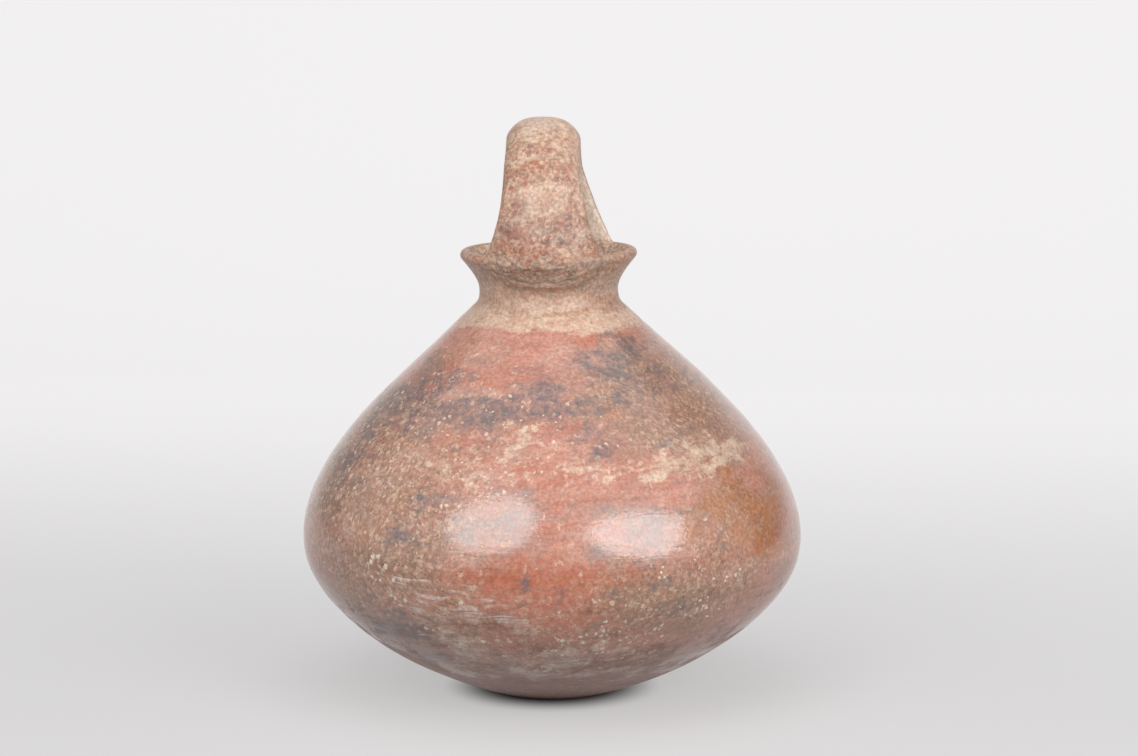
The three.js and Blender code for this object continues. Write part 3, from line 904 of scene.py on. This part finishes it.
STRAP_PALE = linear(214, 176, 150)
PLUM = linear(132, 87, 76)
RUST = linear(178, 108, 80)
MOUTH_PAINTED_LIGHT = linear(252, 224, 200)
RAW_DEEP = linear(150, 104, 80)
RAW_PALE = linear(182, 138, 110)

# Brown stains, and the painted sheen along the outline, turn from umber to olive down the wall
UMBER_ABOVE = 110 * MM
OLIVE_BELOW = 70 * MM

# How strongly each finish mirrors, as its index of refraction
BURNISHED_IOR = 1.82
WORN_IOR = 1.55
RAW_IOR = 1.45
PAPER_IOR = 1.45


def add(tree, kind, inputs=(), **settings):
    made = tree.nodes.new(kind)
    for key, value in settings.items():
        setattr(made, key, value)
    for socket, value in dict(inputs).items():
        if isinstance(value, bpy.types.NodeSocket):
            tree.links.new(value, made.inputs[socket])
        else:
            made.inputs[socket].default_value = value
    return made


def mixed(tree, share, first, second, blend="MIX"):
    mix = add(tree, "ShaderNodeMix", {0: share, 6: first, 7: second}, data_type="RGBA", blend_type=blend)
    return mix.outputs[2]


def worked(tree, operation, first, second=0.0, third=0.0):
    return add(tree, "ShaderNodeMath", {0: first, 1: second, 2: third}, operation=operation).outputs[0]


def times(tree, first, second, plus=0.0):
    return worked(tree, "MULTIPLY_ADD", first, second, plus)


def highest(tree, first, *others):
    for other in others:
        first = worked(tree, "MAXIMUM", first, other)
    return first


def spread(tree, value, low, high, to_low=0.0, to_high=1.0):
    return add(tree, "ShaderNodeMapRange", {0: value, 1: low, 2: high, 3: to_low, 4: to_high},
               interpolation_type="SMOOTHSTEP").outputs[0]


def over(tree, value, limit, low, high):
    """0 where a value is over a limit by the amount low or less, 1 where it is over by high."""
    return spread(tree, worked(tree, "SUBTRACT", value, limit), low, high)


def field(tree, name):
    return add(tree, "ShaderNodeAttribute", attribute_name=name).outputs["Fac"]


def mapped(tree, place, **inputs):
    return add(tree, "ShaderNodeMapping", {"Vector": place, **inputs}).outputs[0]


def on_object(tree, scale=(1, 1, 1), tilt=0):
    """Places on the object, turned about Y by a tilt in degrees and then scaled."""
    place = add(tree, "ShaderNodeTexCoord").outputs["Object"]
    turned = mapped(tree, place, Rotation=(0, math.radians(tilt), 0))
    return mapped(tree, turned, Scale=scale)


def grains(tree, where, scale, detail, roughness):
    inputs = {"Vector": where, "Scale": scale, "Detail": detail, "Roughness": roughness}
    return add(tree, "ShaderNodeTexNoise", inputs).outputs


def grainy(tree, where, scale, detail=3.0, roughness=0.6):
    return grains(tree, where, scale, detail, roughness)[0]


def shaken(tree, where, scale, reach):
    """Moves places about by up to a reach in metres, so that a pattern turns uneven."""
    shake = grains(tree, where, scale, 3, 0.65)["Color"]
    return add(tree, "ShaderNodeVectorMath", {0: shake, 1: (reach, reach, reach), 2: where},
               operation="MULTIPLY_ADD").outputs[0]


def cells(tree, where, scale):
    """Cells at random: the distance from each one's middle, and two random numbers of its own."""
    cell = add(tree, "ShaderNodeTexVoronoi", {"Vector": where, "Scale": scale}).outputs
    pick = add(tree, "ShaderNodeSeparateColor", {0: cell["Color"]}).outputs
    return cell["Distance"], pick[0], pick[1]


def new_group(name, inputs, outputs):
    tree = bpy.data.node_groups.new(name, "ShaderNodeTree")
    for socket, value in inputs.items():
        made = tree.interface.new_socket(socket, in_out="INPUT", socket_type="NodeSocketFloat")
        made.default_value = value
    for socket in outputs:
        tree.interface.new_socket(socket, in_out="OUTPUT", socket_type="NodeSocketFloat")
    return tree, tree.nodes.new("NodeGroupInput").outputs, tree.nodes.new("NodeGroupOutput").inputs


def use_group(tree, group, inputs=()):
    return add(tree, "ShaderNodeGroup", inputs, node_tree=group).outputs


def make_ragged_patch():
    """Breaks the soft edge of a colour field into ragged, grainy paint."""
    inputs = {"Field": 0, "Fineness": 100, "Raggedness": 1.2, "Start": 0.3, "Full": 0.7}
    tree, given, result = new_group("ragged_patch", inputs, ["Mask"])
    torn = grainy(tree, on_object(tree), given["Fineness"], 7, 0.72)
    level = on_object(tree, (0.33, 0.33, 1.9), STREAK_TILT)
    drawn_out = grainy(tree, level, given["Fineness"], 6, 0.72)
    swing = worked(tree, "SUBTRACT", worked(tree, "ADD", torn, drawn_out), 1.0)
    worn = times(tree, swing, given["Raggedness"], given["Field"])
    there = spread(tree, given["Field"], 0.0, 0.15)
    tree.links.new(times(tree, spread(tree, worn, given["Start"], given["Full"]), there), result["Mask"])
    return tree


def make_burnish_strokes():
    """Level strokes of the burnishing pebble: tone, and height in metres for a depth in millimetres."""
    tree, given, result = new_group("burnish_strokes", {"Depth": 0.06}, ["Tone", "Height"])
    bent = shaken(tree, on_object(tree), 11, 0.016)
    broad = grainy(tree, mapped(tree, bent, Scale=(9, 9, 150)), 1, 3, 0.55)
    fine = grainy(tree, mapped(tree, bent, Scale=(16, 16, 640)), 1, 3, 0.6)
    both = times(tree, fine, 0.5, times(tree, broad, 0.5))
    tree.links.new(spread(tree, both, 0.36, 0.64), result["Tone"])
    tree.links.new(times(tree, times(tree, both, given["Depth"]), MM), result["Height"])
    return tree


def make_clay_grain():
    """Fine speckle, flecks, crumbs and slow clouds of colour in fired clay."""
    tree, _, result = new_group("clay_grain", {}, [
        "Speckle", "Grit", "Drift", "Pale", "Dark", "Rosy", "Ashen", "Crumb", "Hue"])
    where = on_object(tree)
    level = on_object(tree, (0.5, 0.5, 1.4), STREAK_TILT)
    _, crumb, hue = cells(tree, shaken(tree, where, 600, 0.0028), 680)
    tree.links.new(crumb, result["Crumb"])
    tree.links.new(hue, result["Hue"])
    flecks = grainy(tree, where, 340, 5, 0.7)
    for name, pattern, low, high in (
            ("Speckle", grainy(tree, where, 640, 3, 0.6), 0.3, 0.7),
            ("Grit", grainy(tree, where, 270, 6, 0.8), 0.4, 0.6),
            ("Drift", grainy(tree, where, 42, 5, 0.66), 0.34, 0.66),
            ("Pale", flecks, 0.54, 0.68),
            ("Dark", flecks, 0.44, 0.3),
            ("Rosy", grainy(tree, level, 70, 7, 0.72), 0.48, 0.64),
            ("Ashen", grainy(tree, level, 54, 7, 0.74), 0.53, 0.67)):
        tree.links.new(spread(tree, pattern, low, high), result[name])
    return tree


def make_flaked_rings():
    """Small rings and spots where the slip has lifted, thicker where Density is high."""
    tree, given, result = new_group("flaked_rings", {"Density": 0}, ["Mask"])
    where = on_object(tree)
    bent = shaken(tree, where, 260, 0.0046)
    from_middle, rank, size = cells(tree, bent, 200)
    off = worked(tree, "ABSOLUTE", worked(tree, "SUBTRACT", from_middle, times(tree, size, 0.24, 0.12)))
    broken = spread(tree, grainy(tree, where, 300, 2), 0.42, 0.56)
    ring = times(tree, spread(tree, off, 0.15, 0.04), broken)
    ring = times(tree, ring, over(tree, given["Density"], rank, 0.0, 0.15))
    from_middle, rank, size = cells(tree, bent, 380)
    wide = times(tree, worked(tree, "POWER", size, 2.0), 0.42, 0.1)
    spot = over(tree, wide, from_middle, 0.0, 0.1)
    spot = times(tree, spot, over(tree, given["Density"], rank, 0.15, 0.4))
    tree.links.new(highest(tree, times(tree, ring, 0.6), spot), result["Mask"])
    return tree


def make_lime_specks():
    """Hard white specks of lime and tiny chips."""
    tree, given, result = new_group("lime_specks", {"Density": 0}, ["Mask"])
    bent = shaken(tree, on_object(tree), 520, 0.0032)
    from_middle, rank, size = cells(tree, bent, 340)
    spot = over(tree, times(tree, size, 0.35, 0.15), from_middle, 0.0, 0.08)
    tree.links.new(times(tree, spot, over(tree, given["Density"], rank, 0.1, 0.2)), result["Mask"])
    return tree


RAGGED = make_ragged_patch()
STROKES = make_burnish_strokes()
GRAIN = make_clay_grain()
RINGS = make_flaked_rings()
SPECKS = make_lime_specks()


def new_finish(name, ior):
    material = bpy.data.materials.new(name)
    material.use_nodes = True
    shader = material.node_tree.nodes["Principled BSDF"]
    shader.inputs["IOR"].default_value = ior
    return material, material.node_tree, shader


def gritty(tree, grain, low, high):
    """A share that changes from grain to grain between two amounts."""
    return spread(tree, grain["Grit"], 0.0, 1.0, low, high)


def patch(tree, grain, colour, name, tint, fineness, raggedness, share, edge):
    """Lays a ragged patch of a tint where a field is high.

    Its share changes from grain to grain, and its edge runs from one level of the field to another.
    """
    mask = use_group(tree, RAGGED, {"Field": field(tree, name), "Fineness": fineness,
                                    "Raggedness": raggedness, "Start": edge[0], "Full": edge[1]})["Mask"]
    return mixed(tree, times(tree, mask, gritty(tree, grain, *share)), colour, tint), mask


def flecked(tree, grain, colour, pale, dark, share):
    colour = mixed(tree, times(tree, grain["Dark"], share), colour, dark)
    return mixed(tree, times(tree, grain["Pale"], share), colour, pale)


def speckled(tree, grain, colour, low, high):
    """Darkens and lightens a colour from speck to speck."""
    return mixed(tree, 1.0, colour, spread(tree, grain["Speckle"], 0.0, 1.0, low, high), "MULTIPLY")


def crumbled(tree, grain, colour, share):
    """Crumbs of grit, each of its own tint: dark, pale or rust."""
    for crumb, tint in ((spread(tree, grain["Crumb"], 0.32, 0.14), CRUST_DARK),
                        (spread(tree, grain["Crumb"], 0.66, 0.86), CREAM_SLIP),
                        (spread(tree, grain["Hue"], 0.74, 0.88), RUST)):
        colour = mixed(tree, times(tree, crumb, share), colour, tint)
    return colour


def crusted(tree, grain, colour):
    """Old, stained slip: brown, with dark and pale flecks all through it."""
    colour, crust = patch(tree, grain, colour, "crust", CRUST_BROWN, 75, 2.0, (0.75, 0.4), (0.15, 1.0))
    colour = flecked(tree, grain, colour, FLAKED, CRUST_DARK, times(tree, crust, 0.8))
    return crumbled(tree, grain, colour, times(tree, crust, 0.28, 0.12))


def finish_with(tree, shader, colour, roughness, height):
    tree.links.new(colour, shader.inputs["Base Color"])
    tree.links.new(roughness, shader.inputs["Roughness"])
    bump = add(tree, "ShaderNodeBump", {"Height": height, "Strength": 1.0, "Distance": 1.0})
    tree.links.new(bump.outputs[0], shader.inputs["Normal"])


def make_burnished_slip():
    """Red slip rubbed to a sheen, clouded by the fire, then stained, flaked and scuffed."""
    material, tree, shader = new_finish("burnished_slip", BURNISHED_IOR)
    strokes = use_group(tree, STROKES, {"Depth": 0.14})
    grain = use_group(tree, GRAIN)
    tone = times(tree, grain["Drift"], 0.4, times(tree, strokes["Tone"], 0.6))
    colour = mixed(tree, tone, BRICK_DEEP, BRICK_PALE)
    colour = mixed(tree, times(tree, grain["Rosy"], 0.5), colour, ROSY)
    colour = mixed(tree, times(tree, grain["Ashen"], 0.55), colour, ASHEN)
    colour = flecked(tree, grain, colour, ROSY, ASHEN, 0.5)
    up_wall = add(tree, "ShaderNodeSeparateXYZ", {0: on_object(tree)}).outputs[2]
    stain_and_sheen = mixed(tree, spread(tree, up_wall, UMBER_ABOVE, OLIVE_BELOW), UMBER, OLIVE)
    colour, _ = patch(tree, grain, colour, "ember", EMBER_RED, 60, 1.6, (0.85, 0.5), (0.2, 0.9))
    # Brown stains, and along the outline a greyer tan as painted sheen
    colour, _ = patch(tree, grain, colour, "brown_and_sheen", stain_and_sheen, 60, 1.8, (0.85, 0.5), (0.1, 1.0))
    colour, _ = patch(tree, grain, colour, "ochre", OCHRE_CLAY, 60, 1.6, (0.65, 0.95), (0.1, 0.95))
    colour = crusted(tree, grain, colour)
    # Darker and browner towards the foot, with pale dust streaks
    colour, low_darkening = patch(tree, grain, colour, "low_darkening", LOW_DARK_BROWN, 55, 2.7, (0.9, 0.5), (0.3, 0.85))
    dusty = times(tree, field(tree, "low_darkening"), spread(tree, strokes["Tone"], 0.6, 1.0))
    colour = mixed(tree, times(tree, dusty, gritty(tree, grain, 0.05, 0.6)), colour, DUST)
    colour, cream = patch(tree, grain, colour, "cream", CREAM_SLIP, 130, 2.8, (0.45, 0.95), (0.3, 1.05))
    colour = flecked(tree, grain, colour, CHALK, UMBER, times(tree, cream, 0.6))
    colour, _ = patch(tree, grain, colour, "smoke", SMOKE_GREY, 70, 2.4, (0.95, 0.45), (0.2, 1.05))
    # Painted highlight: a greyer ground where the lamps' highlights fall, so that they read whiter
    colour, _ = patch(tree, grain, colour, "painted_light", PAINTED_HIGHLIGHT_GREY, 80, 1.9, (0.85, 0.5), (0.1, 1.0))
    rings = use_group(tree, RINGS, {"Density": field(tree, "flakes")})["Mask"]
    colour = mixed(tree, times(tree, rings, 0.9), colour, FLAKED)
    streaks = times(tree, spread(tree, strokes["Tone"], 0.35, 0.65), gritty(tree, grain, 0.4, 1.0))
    scuffs = times(tree, spread(tree, field(tree, "scuffs"), 0.1, 0.8), streaks)
    colour = mixed(tree, times(tree, scuffs, 0.9), colour, SCUFF_GREY)
    lime = use_group(tree, SPECKS, {"Density": field(tree, "lime")})["Mask"]
    colour = mixed(tree, lime, colour, CHALK)
    colour = speckled(tree, grain, colour, 0.84, 1.11)
    dull = highest(tree, rings, scuffs, lime, cream, low_darkening)
    polish = times(tree, grain["Ashen"], 0.12, spread(tree, grain["Drift"], 0.0, 1.0, 0.05, 0.09))
    polish = worked(tree, "ADD", polish, gritty(tree, grain, 0.0, 0.06))
    height = times(tree, grain["Speckle"], 0.025 * MM, strokes["Height"])
    height = times(tree, rings, -0.12 * MM, height)
    height = times(tree, lime, 0.1 * MM, height)
    finish_with(tree, shader, colour, times(tree, dull, 0.3, polish), height)
    return material


def make_worn_slip():
    """Paler slip of the neck and the handle, worn by hands and rough with grit."""
    material, tree, shader = new_finish("worn_slip", WORN_IOR)
    grain = use_group(tree, GRAIN)
    strokes = use_group(tree, STROKES, {"Depth": 0.03})
    mottle = spread(tree, grainy(tree, on_object(tree), 95, 8, 0.76), 0.38, 0.62)
    tone = times(tree, strokes["Tone"], 0.2, times(tree, mottle, 0.8))
    colour = mixed(tree, tone, STRAP_TAN, STRAP_PALE)
    colour = mixed(tree, times(tree, grain["Rosy"], 0.5), colour, ROSY)
    colour, _ = patch(tree, grain, colour, "ochre", RUST, 140, 2.0, (0.5, 0.9), (0.3, 0.8))
    colour, _ = patch(tree, grain, colour, "cream", CREAM_SLIP, 150, 2.2, (0.4, 0.9), (0.3, 0.95))
    colour, _ = patch(tree, grain, colour, "plum", PLUM, 150, 2.2, (0.9, 0.4), (0.3, 1.0))
    colour, _ = patch(tree, grain, colour, "smoke", FOOT_GREY, 140, 2.2, (0.9, 0.45), (0.2, 0.9))
    # Painted light: the inside of the mouth is painted far paler than its brown clay, where it lies in
    # shade
    colour, inside = patch(tree, grain, colour, "inside", MOUTH_PAINTED_LIGHT, 140, 0.6, (0.9, 0.9), (0.3, 0.8))
    colour = flecked(tree, grain, colour, CREAM_SLIP, PLUM, 0.4)
    # Painted light: the lit top, highlights and lit edge of the handle, the highlights on the neck and
    # the rear leg's face in shade are painted pale, and carry fewer crumbs
    lightened = field(tree, "painted_light")
    crumbs = times(tree, spread(tree, lightened, 0.0, 1.0, 0.42, 0.12), field(tree, "crumble"))
    colour = crumbled(tree, grain, colour, crumbs)
    colour = mixed(tree, times(tree, lightened, 0.55), colour, PAINTED_LIGHT_PALE)
    rings = use_group(tree, RINGS, {"Density": times(tree, grain["Drift"], 0.4, 0.2)})["Mask"]
    colour = mixed(tree, times(tree, rings, 0.45), colour, FLAKED)
    colour = speckled(tree, grain, colour, 0.76, 1.14)
    grit = highest(tree, field(tree, "grit"), inside)
    wear = highest(tree, times(tree, rings, 0.6), grit)
    roughness = times(tree, wear, 0.3, spread(tree, mottle, 0.0, 1.0, 0.36, 0.5))
    coarse = times(tree, grit, 0.22 * MM, 0.07 * MM)
    height = times(tree, grain["Speckle"], coarse, strokes["Height"])
    height = times(tree, rings, -0.1 * MM, height)
    finish_with(tree, shader, colour, roughness, height)
    return material


def make_raw_clay():
    """Bare clay of the inner face and the joints."""
    material, tree, shader = new_finish("raw_clay", RAW_IOR)
    grain = use_group(tree, GRAIN)
    strokes = use_group(tree, STROKES, {"Depth": 0.25})
    tone = times(tree, strokes["Tone"], 0.5, times(tree, grain["Drift"], 0.5))
    colour = speckled(tree, grain, mixed(tree, tone, RAW_DEEP, RAW_PALE), 0.72, 1.15)
    roughness = spread(tree, grain["Speckle"], 0.0, 1.0, 0.7, 0.9)
    height = times(tree, grain["Speckle"], 0.2 * MM, strokes["Height"])
    finish_with(tree, shader, colour, roughness, height)
    return material


BURNISHED = make_burnished_slip()
WORN = make_worn_slip()
RAW = make_raw_clay()


# Studio, in metres

PAPER_FLOOR = (-3.0, -1.0, 0.0)
BEND_START = 1.0
BEND_RADIUS = 0.9
BEND_POINTS = 25
PAPER_TOP = 4.0
PAPER_WIDTH = 10
PAPER_WHITE = (0.3, 0.296, 0.297, 1)
PAPER_GLOW = (1, 0.985, 0.99, 1)
GLOW_NEAR = 0.445
GLOW_FAR = 0.725
DARK_TO = 0.028
GLOW_FROM = 0.055
ROOM_WHITE = (1, 1, 1, 1)
ROOM_LIGHT = 0.38
ROOM_SEEN = 0.85


def add_softbox(name, azimuth, elevation, distance, width, height, power, mirrored=True):
    """An oval lamp that faces the belly. The burnish shows it if it is mirrored."""
    data = bpy.data.lights.new(name, "AREA")
    data.shape = "ELLIPSE"
    data.size = width
    data.size_y = height
    data.energy = power
    lamp = bpy.data.objects.new(name, data)
    bpy.context.collection.objects.link(lamp)
    turn = math.radians(azimuth + VIEW_AZIMUTH)
    lift = math.radians(elevation)
    centre = Vector((0, 0, BELLY_HEIGHT))
    lamp.location = centre + distance * Vector(
        (math.sin(turn) * math.cos(lift), -math.cos(turn) * math.cos(lift), math.sin(lift)))
    lamp.rotation_euler = (centre - lamp.location).to_track_quat("-Z", "Y").to_euler()
    lamp.visible_camera = False
    lamp.visible_glossy = mirrored


def make_paper():
    material, tree, shader = new_finish("paper", PAPER_IOR)
    shader.inputs["Base Color"].default_value = PAPER_WHITE
    shader.inputs["Roughness"].default_value = 1.0
    shader.inputs["Specular IOR Level"].default_value = 0.0
    shader.inputs["Emission Color"].default_value = PAPER_GLOW
    where = on_object(tree)
    sideways, back, _ = add(tree, "ShaderNodeSeparateXYZ", {0: where}).outputs
    glow = spread(tree, back, -0.1, 0.95, GLOW_NEAR, GLOW_FAR)
    light = add(tree, "ShaderNodeLightPath").outputs
    # The burnish mirrors the lit stretch of paper, less of its dim margins
    right_margin = spread(tree, sideways, 0.6, 1.7, 1.0, 0.2)
    left_margin = spread(tree, sideways, -1.7, -0.6, 0.4, 1.0)
    near_margin = spread(tree, back, -0.5, -0.16, 0.1, 1.0)
    margins = times(tree, times(tree, right_margin, left_margin), near_margin)
    mirrored = highest(tree, light["Is Glossy Ray"], light["Is Transmission Ray"])
    seen = times(tree, mirrored, margins, light["Is Camera Ray"])
    # Painted contact shadow: under and close round the jar the paper does not glow
    from_jar = add(tree, "ShaderNodeVectorMath", {0: where}, operation="LENGTH").outputs["Value"]
    seen = times(tree, seen, spread(tree, from_jar, DARK_TO, GLOW_FROM))
    tree.links.new(times(tree, glow, seen), shader.inputs["Emission Strength"])
    # From behind, the camera looks through the paper at the jar
    behind = add(tree, "ShaderNodeNewGeometry").outputs["Backfacing"]
    clear = add(tree, "ShaderNodeBsdfTransparent").outputs[0]
    see_through = times(tree, behind, light["Is Camera Ray"])
    sheet = add(tree, "ShaderNodeMixShader", {0: see_through, 1: shader.outputs[0], 2: clear}).outputs[0]
    tree.links.new(sheet, tree.nodes["Material Output"].inputs["Surface"])
    return material


def add_paper_sweep():
    """A pale paper floor that curves up into the backdrop."""
    bm = bmesh.new()
    middle = np.array((BEND_START, BEND_RADIUS))
    bend = [middle + BEND_RADIUS * heading(turn) for turn in np.linspace(-90, 0, BEND_POINTS)]
    profile = [(y, 0) for y in PAPER_FLOOR] + bend + [(BEND_START + BEND_RADIUS, PAPER_TOP)]
    verts = [bm.verts.new((-PAPER_WIDTH / 2, y, z)) for y, z in profile]
    edges = [bm.edges.new(pair) for pair in zip(verts, verts[1:])]
    wide = bmesh.ops.extrude_edge_only(bm, edges=edges)["geom"]
    far_side = [item for item in wide if isinstance(item, bmesh.types.BMVert)]
    bmesh.ops.translate(bm, verts=far_side, vec=(PAPER_WIDTH, 0, 0))
    bmesh.ops.recalc_face_normals(bm, faces=bm.faces)
    if sum(face.normal.z for face in bm.faces) < 0:
        bmesh.ops.reverse_faces(bm, faces=bm.faces)
    material = make_paper()
    new_piece("paper_sweep", bm, [material])


def set_world():
    """An even, pale room, brighter where it is seen than in the light it throws on the jar."""
    world = bpy.data.worlds.new("studio")
    bpy.context.scene.world = world
    world.use_nodes = True
    tree = world.node_tree
    background = tree.nodes["Background"]
    background.inputs["Color"].default_value = ROOM_WHITE
    light = add(tree, "ShaderNodeLightPath").outputs
    seen = highest(tree, light["Is Camera Ray"], light["Is Glossy Ray"], light["Is Transmission Ray"])
    strength = add(tree, "ShaderNodeMapRange", {0: seen, 3: ROOM_LIGHT, 4: ROOM_SEEN}).outputs[0]
    tree.links.new(strength, background.inputs["Strength"])


# Assembly


def stand_for(piece, nodes):
    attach(piece, "root")
    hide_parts(*nodes)


def add_ring(name, profile, closed, finish, paint):
    bm = spun(profile, closed)
    outside = outside_share(np.array([face.calc_center_median() for face in bm.faces]))
    for face, share in zip(bm.faces, outside):
        face.material_index = 0 if share > 0.5 else 1
    piece = new_piece(name + "_skin", bm, [finish, RAW])
    paint(piece.data)
    shape_by_hand(piece.data)
    stand_for(piece, [name])


def add_top():
    blend = blended_top()
    bmesh.ops.bridge_loops(blend, edges=cut_level(blend, THROAT_HEIGHT, True))
    strap = blend.copy()
    for bm, keep_above, name, nodes in (
            (strap, True, "strap_handle", ["handle_strap"]),
            (blend, False, "luted_rim", ["rim_coil", "front_lute", "rear_lute"])):
        bmesh.ops.edgenet_fill(bm, edges=cut_level(bm, STRAP_CUT, keep_above))
        bmesh.ops.recalc_face_normals(bm, faces=bm.faces)
        piece = new_piece(name, bm, [WORN])
        paint_top(piece.data)
        shape_by_hand(piece.data)
        stand_for(piece, nodes)


add_ring("base_pad", pad_profile(), False, BURNISHED, paint_wall)
coil_height = (NECK_ROOT_AT - PAD_TURN_UP) / len(COILS)
for index, name in enumerate(COILS):
    start = PAD_TURN_UP + index * coil_height
    add_ring(name, ring_profile(start, start + coil_height), True, BURNISHED, paint_wall)
add_ring("neck_collar", ring_profile(NECK_ROOT_AT, THROAT_AT, top_lap=0), True, WORN, paint_top)
add_top()

add_camera()
set_world()
add_paper_sweep()
add_softbox("left_softbox", azimuth=-33, elevation=32, distance=1.4, width=1.0, height=0.95, power=6.8)
add_softbox("right_softbox", azimuth=42, elevation=25, distance=1.4, width=1.12, height=0.8, power=7.5)
# Light thrown back by the room and the ceiling, too even to show in the burnish
add_softbox("front_bounce", azimuth=24, elevation=24, distance=2, width=1.3, height=1.3, power=5,
            mirrored=False)
add_softbox("ceiling_bounce", azimuth=0, elevation=75, distance=2, width=1.8, height=1.8, power=8,
            mirrored=False)
bpy.context.scene.view_settings.view_transform = "Standard"
